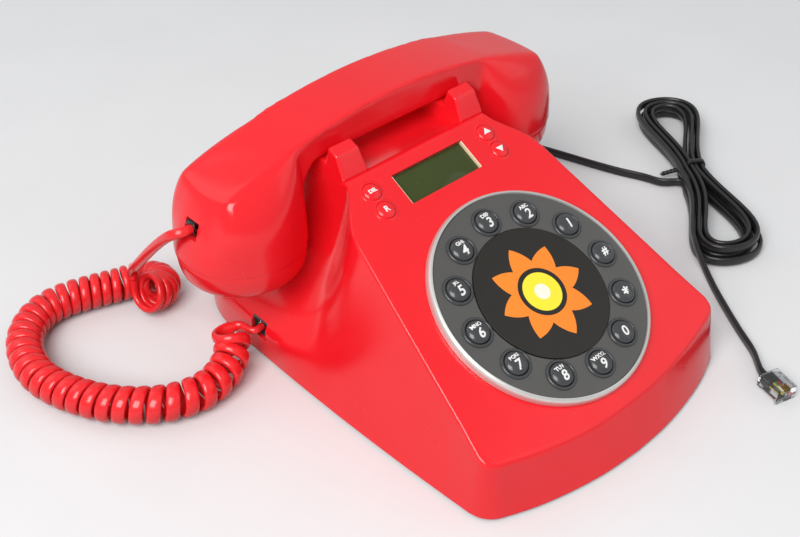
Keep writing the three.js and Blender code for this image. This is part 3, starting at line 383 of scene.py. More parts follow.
def moulded(name, colour, deep, roughness, grain_mm, grain_depth, scuffs=0.08, dust=0.1, **settings):
    """A solid colour with slow drift over 35 mm, a few dust specks, smears, hairlines and grain."""
    made, tree, shader, place = begin(name, **{"IOR": 1.53, **settings})
    drift = add(tree, "ShaderNodeTexNoise", {"Vector": place, "Scale": 1 / 0.035, "Detail": 3.0})
    tone = {"data_type": "RGBA", "Factor": drift.outputs["Fac"], 6: colour, 7: deep}
    tone = add(tree, "ShaderNodeMix", tone).outputs[2]
    specks = add(tree, "ShaderNodeTexVoronoi", {"Vector": place, "Scale": 1 / 0.007})
    near = {"Value": specks.outputs["Distance"], "From Min": 0.018, "From Max": 0.03}
    near.update({"To Min": dust, "To Max": 0.0})
    near = add(tree, "ShaderNodeMapRange", near).outputs[0]
    dusty = add(tree, "ShaderNodeMix", {"data_type": "RGBA", "Factor": near, 6: tone, 7: "#ffffff"})
    tree.links.new(dusty.outputs[2], shader.inputs["Base Color"])
    surface(tree, shader, place, roughness, scuffs, grain_mm, grain_depth)
    return made


def printed_label():
    """Matt film on the dial's centre: a plain eight-pointed sunburst in orange, yellow and cream."""
    made, tree, shader, place = begin("dial_label_printed_film", IOR=1.5, Specular_IOR_Level=0.35)
    local = {"vector_type": "TEXTURE", "Vector": place, "Location": (0, DIAL_Y * MM, DIAL_Z * MM)}
    local.update({"Rotation": (FACE_SLOPE, 0, 0), "Scale": (MM, MM, MM)})
    local = add(tree, "ShaderNodeMapping", local).outputs[0]
    x, y = add(tree, "ShaderNodeSeparateXYZ", {"Vector": local}).outputs[:2]
    flat = add(tree, "ShaderNodeCombineXYZ", {"X": x, "Y": y}).outputs[0]
    radius = add(tree, "ShaderNodeVectorMath", {"operation": "LENGTH", 0: flat}).outputs["Value"]
    value = add(tree, "ShaderNodeMath", {"operation": "ARCTAN2", 0: y, 1: x}).outputs[0]
    for operation, first, second, third in (
        ("MULTIPLY", value, 8 / (2 * math.pi), 0.0),
        ("PINGPONG", None, 0.5, 0.0),
        ("MULTIPLY_ADD", None, 15.0, radius),
        ("LESS_THAN", None, 21.0, 0.0),
    ):
        step = {"operation": operation, 0: first or value, 1: second, 2: third}
        value = add(tree, "ShaderNodeMath", step).outputs[0]
    drift = add(tree, "ShaderNodeTexNoise", {"Vector": place, "Scale": 1 / 0.02, "Detail": 3.0})
    tone = {"data_type": "RGBA", "Factor": drift.outputs["Fac"], 6: "#292723", 7: "#23211e"}
    ground = add(tree, "ShaderNodeMix", tone).outputs[2]
    star = {"data_type": "RGBA", "Factor": value, 6: ground, 7: "#f98a2c"}
    tone = add(tree, "ShaderNodeMix", star).outputs[2]
    for reach, ink in ((10.4, ground), (8.4, "#f9e63a"), (3.4, "#f6f0dc")):
        inside = add(tree, "ShaderNodeMath", {"operation": "LESS_THAN", 0: radius, 1: reach}).outputs[0]
        tone = add(tree, "ShaderNodeMix", {"data_type": "RGBA", "Factor": inside, 6: tone, 7: ink}).outputs[2]
    tree.links.new(tone, shader.inputs["Base Color"])
    surface(tree, shader, place, 0.42, 0.06, 0.9, 0.008)
    return made


# High-gloss ABS: a clear red, slightly wavy as it left the mould, with hairlines and stray dust
red_abs = moulded("red_abs_moulded", "#f31a25", "#e81521", 0.16, 2.6, 0.012)
# Satin ABS with a fine spark-eroded grain
grey_abs = moulded("dark_grey_abs_grained", "#565553", "#4c4b49", 0.36, 0.7, 0.03, dust=0.16)
# Polished dark grey ABS of the key domes
key_abs = moulded("dark_grey_abs_polished", "#424345", "#3a3b3d", 0.17, 2.0, 0.008)
# Aluminium paint on moulded ABS: a soft metallic shine that turns white where the light is
silver_paint = moulded(
    "aluminium_paint_on_abs", "#dededa", "#d2d2ce", 0.3, 0.5, 0.006, 0.05, 0.0,
    Metallic=0.6,
)
# Cream styrene frame round the display, a little yellowed
cream_styrene = moulded("cream_styrene_moulded", "#efd9bb", "#e6ccaa", 0.4, 0.8, 0.01)
# Glossy PVC of the curly cord, with faint lines of the extrusion
red_pvc = moulded("red_pvc_cord", "#f0282c", "#e21f25", 0.19, 1.6, 0.015, dust=0.0)
# Semi-gloss PVC of the line cord
black_pvc = moulded("black_pvc_cord", "#1b1b1c", "#151516", 0.32, 1.6, 0.015)
# Yellow and green insulation of two of the line plug's conductors
yellow_wire = moulded("conductor_yellow", "#ead640", "#dfc935", 0.35, 1.6, 0.01, dust=0.0)
green_wire = moulded("conductor_green", "#35a052", "#2c9147", 0.35, 1.6, 0.01, dust=0.0)
# Matt rubber of feet and strain relief
black_rubber = moulded("black_rubber_moulded", "#1d1d1d", "#171717", 0.65, 0.6, 0.03)
# Zinc-plated steel, dull silver with a faint mottle
zinc_steel = moulded(
    "steel_zinc_plated", "#a8abae", "#8f9296", 0.34, 0.6, 0.01,
    dust=0.0, Metallic=1.0, IOR=1.5,
)
# Green solder resist over glass-fibre board
solder_resist = moulded("circuit_board_green", "#1f6b3b", "#195b31", 0.4, 0.9, 0.02)
# Clear polycarbonate of the modular plugs
clear_pc = moulded(
    "clear_polycarbonate", "#f2f5f6", "#e9eef0", 0.05, 2.0, 0.004, 0.03, 0.0,
    Transmission_Weight=1.0, IOR=1.58,
)
# White ink, printed on the keys and a little thin where fingers touch it
white_ink = moulded("white_ink_printed", "#f4f4f2", "#e4e4e1", 0.45, 0.4, 0.005, dust=0.0)
# Display glass over the dark olive liquid-crystal cell
display_glass = moulded(
    "display_glass_olive", "#3f4a20", "#353f1b", 0.07, 3.0, 0.002, 0.04,
    Specular_IOR_Level=0.3,
)
# Gold-plated bronze of the contact blades
gold_plate = moulded(
    "gold_plated_bronze", "#e2bd62", "#d6ad50", 0.22, 0.5, 0.004,
    dust=0.0, Metallic=1.0, IOR=1.5,
)
disc_print = printed_label()

# --- Cords ---

STRAND = 3.2
COIL_Z = 8.3
COIL_ROUTE = [
    (-91, 96.5, 12.3), (-84.8, 97.6, 10), (-80.4, 101.5, 9.3), (-80.9, 107.8, 8.7), (-86.2, 112.4, COIL_Z),
    (-94.5, 115, COIL_Z), (-104, 118.4, COIL_Z), (-113, 121.3, COIL_Z), (-121.5, 122.7, COIL_Z),
    (-130, 121.6, COIL_Z), (-137.8, 117.2, COIL_Z),
    (-143.9, 110.6, COIL_Z), (-148.2, 102, COIL_Z), (-150.6, 92.5, COIL_Z), (-150.9, 83, COIL_Z),
    (-149, 73.5, COIL_Z), (-145.8, 64.5, COIL_Z), (-141.6, 56, COIL_Z), (-136.4, 48.4, COIL_Z),
    (-130, 41.6, COIL_Z), (-122.7, 36, COIL_Z), (-114.5, 32.4, COIL_Z), (-106, 31.2, COIL_Z),
    (-98, 32.6, 8.6), (-91.6, 35.2, 9.6), (-86.6, 38.6, 12.2), (-84, 41.8, 15), (-83, 44, 18.6),
]
CURLS = 41.28
CURL_STEPS = 20
WINDING, END_WINDING = 6.45, 7.9
FLAT_THICK = 1.45
JACK_DEEP, LOWER_PLUG_LONG = 11.7, 14
JACK_FRONT = -HALF_WIDTH + WALL + 3 + JACK_DEEP
LOWER_PLUG_END = JACK_FRONT - LOWER_PLUG_LONG
HOLE_MOUTH, HOLE_FLOOR = -CUP_X - CUP_RADIUS * 0.8, -CUP_X - CUP_RADIUS * 0.56


def coil_centres():
    """The strand's centreline through the coil, with the outward direction at each place."""
    axis = spread(smooth_path(COIL_ROUTE), 1200)
    share = np.linspace(0, 1, len(axis))
    pitch = np.interp(share, [0, 0.08, 0.16, 0.3, 0.65, 0.93, 1], [3.0, 3.1, 3.9, 4.9, 5.5, 6.2, 5.4])
    turns = np.concatenate([[0], np.cumsum((1 / pitch[1:] + 1 / pitch[:-1]) / 2)])
    turns *= CURLS / turns[-1]
    count = int(CURLS * CURL_STEPS) + 1
    wanted = np.linspace(0, CURLS, count)
    places = np.column_stack([np.interp(wanted, turns, axis[:, k]) for k in range(3)])
    along = headings(places)
    right = unit(np.cross(along, (0, 0, 1)))
    over = np.cross(right, along)
    angle = math.pi + 2 * math.pi * wanted
    out = right * np.cos(angle)[:, None] + over * np.sin(angle)[:, None]
    share = np.interp(wanted, turns, share)
    winding = np.interp(share, [0, 0.04, 0.1], [END_WINDING, END_WINDING - 0.3, WINDING])
    return places + out * winding[:, None], out


def flat_widths(path, tail):
    """Half widths of the flat strand: it fills the room to its next curl, and narrows in its tail."""
    apart = np.linalg.norm(path[CURL_STEPS:] - path[:-CURL_STEPS], axis=1)
    ahead = np.append(apart, np.full(CURL_STEPS, apart[-1]))
    behind = np.insert(apart, 0, np.full(CURL_STEPS, apart[0]))
    wide = np.clip(0.465 * np.minimum(ahead, behind) - 0.08, 1.6, 2.9)
    wide = np.convolve(np.pad(wide, 4, mode="edge"), np.full(9, 1 / 9), mode="valid")
    wide[-tail:] = np.minimum(wide[-tail:], np.interp(range(tail), [0, 6], [2.2, 1.6]))
    return wide


def curly_cord():
    """The lying coil with its tail; gives back what the lead needs to go on from its first turn."""
    centres, outs = coil_centres()
    start_heading = unit(centres[0] - centres[1])
    end_heading = unit(centres[-1] - centres[-2])
    first = centres[0] + start_heading * STRAND
    mouth = np.array((LOWER_PLUG_END - FIT, JACK_Y, JACK_Z))
    past_end = centres[-1] + end_heading * STRAND * 1.2
    tail = smooth_path([centres[-1], past_end, mouth - (4.4, 0, 0), mouth], 12)
    tail = spread(tail, 16)[1:]
    path = np.vstack([[first], centres, tail])
    outs = np.vstack([outs[:1], outs, np.repeat(outs[-1:], len(tail), axis=0)])
    wide = flat_widths(path, len(tail))
    cord = strand("curly_cord_coil", path, outs, FLAT_THICK, wide, sides=16, power=2.4)
    settle(cord, "base", "red_cord", red_pvc, "handset_cord_coil", "handset_cord_tail", smooth=60)
    return first, start_heading, outs[0], wide[0]


def handset_lead(plug, first, heading, last_out, last_wide):
    """The lead from the handset down to the coil's first turn."""
    route = [
        (HOLE_MOUTH - FIT, CRADLE_Y, HOLE_Z), (-97.2, 45, 75.5), (-99.8, 47.6, 74.4), (-100.6, 52.8, 70.2),
        (-100.8, 59.4, 64), (-100.8, 67, 56.4), (-100.6, 75.4, 47.6), (-99.7, 84, 38.8), (-97.6, 92, 31.4),
        (-95.4, 98, 25.4), first + heading * 5, first + heading * 2.4, first + heading * FIT,
    ]
    path = spread(smooth_path(route), 60)
    share = np.linspace(0, 1, len(path))
    faced = np.clip((share - 0.5) / 0.48, 0, 1)[:, None]
    faced = faced * faced * (3 - 2 * faced)
    outs = np.array((0.52, 0.6, -0.61)) * (1 - faced) + last_out * faced
    thick = np.interp(share, [0, 0.1], [1.6, FLAT_THICK])
    wide = np.interp(share, [0, 0.1, 0.8, 1], [1.9, 2.15, 2.15, last_wide])
    cord = strand("curly_cord_lead", path, outs, thick, wide, sides=16, power=2.6)
    settle(cord, "handset", "red_cord", red_pvc, "handset_cord_lead", smooth=60)


HANK = Vector((165, -6))
HANK_TURN = math.radians(51.4)
HANK_HALF, HANK_BULGE, HANK_WAIST, HANK_LEAN = 70, 16.7, 7, 11
LAYER_LOW, LAYER_RISE = 3.2, 5.2
LOOPS = 5.125
LINE_HALF_WIDE, LINE_HALF_THICK = 2.2, 1.1
TIE_X, TIE_THICK = 4, 0.5
PLUG_AT = Vector((67, -123.6, 3.6))
PLUG_TURN = math.radians(-16)
PLUG_LONG = 12.3


def hank_centres(count=400):
    """The line cord's centreline through the hank: loops drawn in at the waist, in two layers."""
    loops = np.linspace(0, LOOPS, count)
    turn = math.radians(100) + 2 * math.pi * loops
    inwards = np.minimum(loops, LOOPS - loops)
    waist = HANK_WAIST - 3.2 * inwards
    swell = (HANK_BULGE - 3.4 * inwards - 0.577 * waist) / 0.385
    x = (HANK_HALF - 3.4 * inwards) * np.cos(turn)
    y = np.sin(turn) * (waist + swell * np.cos(turn) ** 2)
    y += HANK_LEAN * np.minimum(0, np.cos(turn)) * np.sin(turn) ** 2
    climb = np.clip((loops / LOOPS - 0.472) / (0.526 - 0.472), 0, 1)
    z = LAYER_LOW + LAYER_RISE * climb
    c, s = math.cos(HANK_TURN), math.sin(HANK_TURN)
    return np.column_stack([c * x - s * y + HANK.x, s * x + c * y + HANK.y, z])


def plug_back(distance):
    """A place behind the line plug, in line with it."""
    back = Vector((0, PLUG_LONG / 2 + distance, 0))
    return np.array(PLUG_AT + Matrix.Rotation(PLUG_TURN, 3, "Z") @ back)


def line_cord(pieces):
    """The line cord from its strain relief through the hank to the plug."""
    hank = hank_centres()
    lead = [
        (RELIEF.x, RELIEF.y + 12 + FIT, RELIEF.z), (25.2, 125.5, 9.2), (28, 134, 6.8), (35, 141.5, 3.8),
        (47, 146, 2.3), (62, 145.8, 2.3), (78, 140.5, 2.3), (93, 130.5, 2.3), (106.5, 117, 2.3),
        (117.5, 101, 2.3), (125.5, 84.5, 2.3), (131.5, 69, 2.3), (136.4, 53, 2.3), (140.6, 38, 2.3),
        (145, 24, 2.35), (149.6, 12, 2.5), (152, 2.5, 2.9),
    ]
    start = hank[0] + unit(hank[0] - hank[1]) * 4 * LINE_HALF_WIDE
    end = hank[-1] + unit(hank[-1] - hank[-2]) * 2 * LINE_HALF_WIDE
    tail = [(108, -56, 6), (101, -67.5, 3.4), (93.5, -80, 2.3), (86, -92, 2.3), (78.8, -104, 2.5)]
    route = [*lead, start, hank[0]]
    first = spread(smooth_path(route, 10), 110)[:-1]
    last = spread(smooth_path([hank[-1], end, *tail, plug_back(3.2), plug_back(FIT)], 10), 46)[1:]
    path = np.vstack([first, hank, last])
    along = headings(path)
    out = unit(np.cross(along, (0, 0, 1)))
    cord = strand("line_cord", path, out, LINE_HALF_THICK, LINE_HALF_WIDE, sides=14, power=2.6)
    stood_for = ("line_cord_lead", "line_cord_hank", "line_cord_tail")
    settle(cord, "base", "black_cord", black_pvc, *stood_for, smooth=60)


CONTACTS, CONTACT_PITCH = 4, 1.02


def contact_places():
    return [(i - (CONTACTS - 1) / 2) * CONTACT_PITCH for i in range(CONTACTS)]


def modular_plug(name, wide, long, tall):
    """A clear modular plug along Y, its contacts towards -Y and its latch on top."""
    body = block(name, (-wide / 2, -long / 2, -tall / 2), (wide / 2, long / 2, tall / 2), bevel=0.35)
    tools = []
    for x in contact_places():
        lower, upper = (x - 0.26, -long / 2 - 1, -tall / 2 - 1), (x + 0.26, -long / 2 + 3.6, -tall / 2 + 1.5)
        tools.append(block("blade_slot", lower, upper))
    lower, upper = (-wide, -long / 2 + 1.6, tall / 2 - 1.9), (wide, long / 2 - 3, tall / 2 - 1.35)
    tools.append(block("latch_gap", lower, upper))
    side = wide / 2 - 1.6
    for s in (-1, 1):
        low, high = sorted((s * side, s * wide))
        lower, upper = (low, -long / 2 + 1.2, tall / 2 - 1.4), (high, long / 2 + 1, tall / 2 + 1)
        tools.append(block("latch_side", lower, upper))
    cut(body, *tools)
    metal = []
    for x in contact_places():
        lower = (x - 0.16, -long / 2 + 0.25, -tall / 2 + 0.15)
        upper = (x + 0.16, -long / 2 + 3.3, -tall / 2 + 1.9)
        metal.append(block("blade", lower, upper, bevel=0.08))
    return body, join(f"{name}_contacts", metal)


def plugs():
    """The line plug with its conductors, the plug in the base and the one in the handset."""
    turned_down = Matrix.Rotation(math.pi, 4, "Y")
    body, metal = modular_plug("line_plug_clear", 9.65, PLUG_LONG, 6.6)
    place = Matrix.Translation(PLUG_AT * MM) @ Matrix.Rotation(PLUG_TURN, 4, "Z") @ turned_down
    for obj in (body, metal):
        obj.data.transform(place)
    line = [
        settle(body, "base", "clear_plastic", clear_pc, "line_plug", smooth=30),
        settle(metal, "base", "steel", gold_plate, smooth=30),
    ]
    jacket_end = PLUG_LONG / 2 - 5.6
    lower = (-LINE_HALF_WIDE, jacket_end, -LINE_HALF_THICK)
    upper = (LINE_HALF_WIDE, PLUG_LONG / 2 - 0.3, LINE_HALF_THICK)
    jacket = block("line_plug_jacket_end", lower, upper, bevel=0.5)
    jacket.data.transform(place)
    line.append(settle(jacket, "base", "black_cord", black_pvc, smooth=40))
    wires = {"black": black_pvc, "red": red_pvc, "green": green_wire, "yellow": yellow_wire}
    for x, (colour, finish) in zip(contact_places(), wires.items()):
        upper = (x + 0.42, jacket_end - 0.05, -0.56)
        wire = block(f"line_plug_wire_{colour}", (x - 0.42, -PLUG_LONG / 2 + 1.2, -1.38), upper, bevel=0.3)
        wire.data.transform(place)
        line.append(settle(wire, "base", "black_cord", finish, smooth=40))
    pairs = []
    along_x = Matrix.Rotation(math.pi / 2, 4, "Z")
    lower_place = (LOWER_PLUG_END, JACK_FRONT, JACK_Y, JACK_Z)
    upper_place = (HOLE_MOUTH, HOLE_FLOOR + JACK_DEEP, CRADLE_Y, HOLE_Z)
    for name, (low, high, y, z), body_name, node in (
        ("lower_plug_clear", lower_place, "base", "handset_cord_plug_lower"),
        ("upper_plug_clear", upper_place, "handset", "handset_cord_plug_upper"),
    ):
        body, metal = modular_plug(name, 7.65, high - low, 6.5)
        for obj in (body, metal):
            obj.data.transform(Matrix.Translation(Vector(((low + high) / 2, y, z)) * MM) @ along_x)
        pairs.append([
            settle(body, body_name, "clear_plastic", clear_pc, node, smooth=30),
            settle(metal, body_name, "steel", gold_plate, smooth=30),
        ])
    return line, *pairs


def strain_relief():
    """The ribbed rubber sleeve of the line cord in the rear wall."""
    profile = [(0, -6.2), (4.8, -6.2), (4.8, -4.95), (3.6, -4.95), (3.6, FIT), (4.8, FIT), (4.8, FIT + 1.6)]
    z = FIT + 1.6
    while z < 11.2:
        rib = 4.3 - 2.1 * z / 12
        neck = rib - 1 + 0.63 * z / 12
        profile += [(rib, z + 0.1), (rib, z + 1.0), (neck, z + 1.15), (neck, z + 1.7)]
        z += 1.8
    profile += [(2.2, 12), (0, 12)]
    relief = turned("line_relief_ribbed", profile, 40)
    relief.data.transform(Matrix.Translation(RELIEF * MM) @ Matrix.Rotation(-math.pi / 2, 4, "X"))
    return settle(relief, "base", "rubber", black_rubber, "line_strain_relief", smooth=30)


def hank_tie():
    """A flat plastic tie drawn tight round the hank's waist, with its two ends twisted together."""
    place = Matrix.Translation(HANK.to_3d()) @ Matrix.Rotation(HANK_TURN, 4, "Z")
    hank = hank_centres() @ np.array(place.to_3x3()) + np.array(place.inverted().translation)
    near = hank[np.abs(hank[:, 0] - TIE_X) < 2]
    loop = []
    for turn in np.linspace(-math.pi / 2, 1.5 * math.pi, 181):
        c, s = math.cos(turn), math.sin(turn)
        y, z = near[np.argmax(near[:, 1] * c + near[:, 2] * s), 1:]
        y += (LINE_HALF_THICK + TIE_THICK) * c
        loop.append((TIE_X, y, max(TIE_THICK, z + (LINE_HALF_WIDE + TIE_THICK) * s)))
    loop = spread(np.array(loop), 97)
    outs = np.cross(headings(loop), (1, 0, 0))
    parts = [strand("tie_loop", loop, outs, TIE_THICK, 1.5, sides=10, power=4)]
    side, middle = loop[:, 1].max(), loop[:, 2].mean()
    twist = np.linspace(0, 1, 40)
    for phase in (0, math.pi):
        wound = phase + 5 * math.pi * twist
        radius = 0.75 * np.minimum(1, 4 * twist)
        tail = np.column_stack([
            TIE_X + radius * np.cos(wound), side + 9 * twist, middle - 2.6 * twist + radius * np.sin(wound)
        ])
        outs = np.column_stack([np.cos(wound), 0 * wound, np.sin(wound)])
        parts.append(strand("tie_end", tail, outs, 0.4, 0.7, sides=10, power=3))
    tie = join("hank_tie_wound", parts)
    tie.data.transform(MILLI @ place @ MILLI.inverted())
    return settle(tie, "base", "black_cord", black_pvc, "line_cord_tie", smooth=50)


line_plug, lower_plug, upper_plug = plugs()
handset_lead(upper_plug, *curly_cord())
line_cord([*line_plug, strain_relief(), hank_tie()])

# --- Housing ---

SKIRT_SHARES = [
    (0, 1, 0, 1), (0.24, 0.991, 0.235, 0.993), (0.458, 0.968, 0.462, 0.961),
    (0.667, 0.933, 0.682, 0.909), (0.82, 0.895, 0.864, 0.851), (0.901, 0.869, 0.942, 0.821),
    (0.947, 0.832, 0.988, 0.774), (0.964, 0.79, 1, 0.7),
]
SKIRT_END, REAR_START = -0.7, 0.42


def face_height(y):
    return DIAL_Z + (y - DIAL_Y) * math.tan(FACE_SLOPE)


def face_edge_half(y):
    v = (y - DIAL_Y) / math.cos(FACE_SLOPE)
    narrowing = (FACE_KINK_HALF - FACE_FRONT_HALF) * (v - FACE_FRONT_V) / (FACE_KINK_V - FACE_FRONT_V)
    return FACE_FRONT_HALF + narrowing


def eased(share, power):
    """Rises from 0 to 1 with no slope at either end, and later the higher the power is."""
    share = min(1, max(0, share))
    return share**power * (1 + power * (1 - share))


def side_half(y, z):
    """Half width of the side walls: they lean to the face's edge, then scoop in to the tower."""
    rim = HALF_WIDTH - RIM_TAPER * (y / HALF_DEPTH) ** 2
    leaning = rim + (face_edge_half(y) - rim) * (z - FOOT_HEIGHT) / (face_height(y) - FOOT_HEIGHT)
    kink = DIAL_Y + FACE_KINK_V * math.cos(FACE_SLOPE)
    if y <= kink:
        return leaning
    late = 9 * eased((FACE_TOP_Z - 6 - z) / 40, 2)
    share = eased((y - kink) / (FACE_TOP_Y + late - kink), 3.5)
    flare = eased((TOWER_SIDE_Z - z) / (TOWER_SIDE_Z - FLARE_FOOT_Z), 3)
    scoop = TOWER_HALF + (rim - TOWER_HALF) * flare
    return leaning * (1 - share) + scoop * share


def rear_y(z):
    """The rear wall's place: upright at its foot, then leaning in to the cradle."""
    share = (z - REAR_FOOT_Z) / (FACE_TOP_Z - REAR_FOOT_Z)
    share = (share + math.sqrt(share * share + 0.006)) / 2
    return HALF_DEPTH + (CRADLE_Y + CRADLE_BACK_HALF - HALF_DEPTH) * share


def top_height(y):
    """Height of the housing's top along its middle: sloping face, then the trough under the handle."""
    along = min(1, abs(y - CRADLE_Y) / CRADLE_BACK_HALF)
    trough = FACE_TOP_Z - TROUGH_DROP * (1 - along**3)
    if y > CRADLE_Y:
        return trough
    slope, soft = face_height(y), 1.8
    if y < FACE_TOP_Y - 4:
        return slope
    if y > FACE_TOP_Y + 4:
        return trough
    steep = FACE_TOP_Z - 0.43 * (y - FACE_TOP_Y)
    trough = trough if y > FACE_TOP_Y else steep
    gap = max(0, soft - abs(slope - trough)) / soft
    return min(slope, trough) - gap * gap * soft / 4


def stations():
    """Functions of height that give the housing's outline, from the front's middle round the right side."""
    skirt = spread(smooth_path(SKIRT_SHARES, 8), 46)
    made = []
    for rim_x, rim_y, edge_x, edge_y in skirt:
        edge = -edge_y * FACE_DOWN
        y = DIAL_Y + edge * math.cos(FACE_SLOPE)
        z = DIAL_Z + edge * math.sin(FACE_SLOPE)

        def at(height, rim_x=rim_x, rim_y=rim_y, edge_x=edge_x, y=y, z=z):
            share = (height - FOOT_HEIGHT) / (z - FOOT_HEIGHT)
            x = rim_x * HALF_WIDTH + (edge_x * FACE_FRONT_HALF - rim_x * HALF_WIDTH) * share
            return x, -rim_y * HALF_DEPTH + (y + rim_y * HALF_DEPTH) * share

        made.append(at)
    for side_y in np.linspace(SKIRT_END, REAR_START, 70)[1:] * HALF_DEPTH:
        made.append(lambda height, y=side_y: (side_half(y, height), y))

    def rear(height, angle):
        rise = eased((height - FLARE_FOOT_Z) / (TOWER_SIDE_Z - FLARE_FOOT_Z), 2)
        power = 2 / (REAR_POWER + (REAR_POWER_TOP - REAR_POWER) * rise)
        y = REAR_START * HALF_DEPTH
        x = side_half(y, height)
        return x * math.cos(angle) ** power, y + (rear_y(height) - y) * math.sin(angle) ** power

    corner = np.linspace(0, math.pi / 2, 40)[1:]
    for angle in corner - 0.42 * np.sin(4 * corner) / 4:
        made.append(lambda height, angle=min(angle, math.pi / 2 - 1e-9): rear(height, angle))
    return made


def edge_height(at, drop):
    """Height at which a station's wall meets the top."""
    low, high = FOOT_HEIGHT, FACE_TOP_Z + 4
    for _ in range(40):
        middle = (low + high) / 2
        if top_height(at(middle)[1]) - drop > middle:
            low = middle
        else:
            high = middle
    return low


def outline(points):
    """The right half's places and their mirror images, as one loop."""
    return [*points, *[(-x, y, z) for x, y, z in points[-2:0:-1]]]


def housing_body(name, inset, low, radius, levels):
    """The housing's outside, or its inside where it is inset, with a rounded edge round the top."""
    walls = []
    for at in stations():
        edge = edge_height(at, inset)
        heights = [low, *np.linspace(FOOT_HEIGHT, edge - 1.6 * max(1, radius), levels), edge]
        heights = heights[low >= FOOT_HEIGHT:]
        walls.append([(*at(max(z, FOOT_HEIGHT)), z) for z in heights])
    rings = [outline([wall[i] for wall in walls]) for i in range(len(walls[0]))]
    rings = [np.array(ring, dtype=float) for ring in rings]
    if inset:
        shifted = []
        for ring in rings:
            along = np.roll(ring, -1, axis=0) - np.roll(ring, 1, axis=0)
            along = unit(along[:, :2])
            shifted.append(ring + np.column_stack([-along[:, 1], along[:, 0], 0 * along[:, 0]]) * inset)
        rings = shifted
    if radius:
        edge = rings[-1]
        along = unit(np.roll(edge, -1, axis=0) - np.roll(edge, 1, axis=0))
        slope = np.array([(top_height(y + 0.05) - top_height(y - 0.05)) / 0.1 for y in edge[:, 1]])
        up = unit(np.column_stack([0 * slope, -slope, 1 + 0 * slope]))
        inwards = unit(np.cross(up, along))
        inner = edge + inwards * radius
        inner[:, 2] = [top_height(y) for y in inner[:, 1]]
        down = unit(rings[-2] - edge)
        lower = edge + down * radius
        arc = []
        for t in np.linspace(0, 1, 5):
            arc.append((1 - t) ** 2 * lower + 2 * t * (1 - t) * edge + t**2 * inner)
        far = radius * 1.4
        flat = edge + inwards * far
        flat[:, 2] = [top_height(y) for y in flat[:, 1]]
        rings = rings[:-1] + arc + [flat]
    obj = skin(name, [list(ring) for ring in rings], fill=False)
    pick(obj)
    top = rings[-1]
    half = len(top) // 2
    mesh = bmesh.new()
    mesh.from_mesh(obj.data)
    mesh.verts.ensure_lookup_table()
    keyed = {tuple(round(c, 6) for c in v.co): v for v in mesh.verts}

    def vertex(place):
        key = tuple(round(float(c) * MM, 6) for c in place)
        if key in keyed:
            return keyed[key]
        spot = Vector([float(c) * MM for c in place])
        return min(mesh.verts, key=lambda v: (v.co - spot).length_squared)

    loop = [vertex(place) for place in top]
    for i in range(half):
        corners = list(dict.fromkeys([loop[i], loop[i + 1], loop[-(i + 1)], loop[-i]]))
        if len(corners) > 2:
            mesh.faces.new(corners)
    mesh.to_mesh(obj.data)
    mesh.free()
    return close_up(obj)


def cord_opening(name, low_x, high_x, y, z, room=0):
    """A block the size of the opening for a modular plug, lying along X."""
    wide, tall = 4.125 + room, 3.55 + room
    return block(name, (low_x, y - wide, z - tall), (high_x, y + wide, z + tall), bevel=0.6)


def horn(side):
    """Front and back horn on one side with the seat between them."""
    middle = FACE_TOP_Y + HORN_LEAN
    half = [
        (middle, FACE_TOP_Z - TROUGH_DROP - WALL / 2),
        (FACE_TOP_Y + 0.4, FACE_TOP_Z - 0.4),
        (middle, FACE_TOP_Z + HORN_FRONT_RISE),
        (middle + HORN_TOP_DEPTH, FACE_TOP_Z + HORN_BACK_RISE),
        (middle + HORN_TOP_DEPTH + HORN_BACK_LEAN, SEAT_Z),
    ]
    profile = half + [(2 * CRADLE_Y - y, z) for y, z in reversed(half)]
    rings = []
    for x in (HORN_INNER, TOWER_HALF - 0.05):
        lean = 1.2 if x < 30 else -0.6
        rings.append([
            (side * (x + lean * max(0, (z - FACE_TOP_Z) / HORN_BACK_RISE)), y, z) for y, z in profile
        ])
    obj = skin("horn", rings)
    modify(obj, "BEVEL", width=1.3 * MM, segments=4, limit_method="ANGLE", angle_limit=math.radians(30))
    return obj


def button_places():
    return [(side * BUTTON_U, v) for v in BUTTON_VS for side in (-1, 1)]


def button_rims():
    """Low rounded rings that stand round the four function keys."""
    profile = [(BUTTON_RADIUS - 1, -1), (BUTTON_RADIUS + 1.25, -1), (BUTTON_RADIUS + 1.25, 0.08)]
    profile += [(BUTTON_RADIUS + 1.05, 0.18), (BUTTON_RADIUS + 0.75, 0.34), (BUTTON_RADIUS + 0.4, 0.42)]
    profile += [(BUTTON_RADIUS - 1, 0.42)]
    rims = copies(turned("rim", profile, 48), ["button_rim"] * 4, button_places())
    return [on_face(rim) for rim in rims]


def flank_weight(x, y, z):
    """1 on the hollow flanks beside the tower, and 0 near the rim and the top edge."""
    return (
        ramp(abs(x), 33, 39) * ramp(y, -8, 4) * ramp(y, 52, 42)
        * ramp(z, 17, 27) * ramp(z, 82, 68) * ramp(top_height(y) - z, 4, 10)
    )


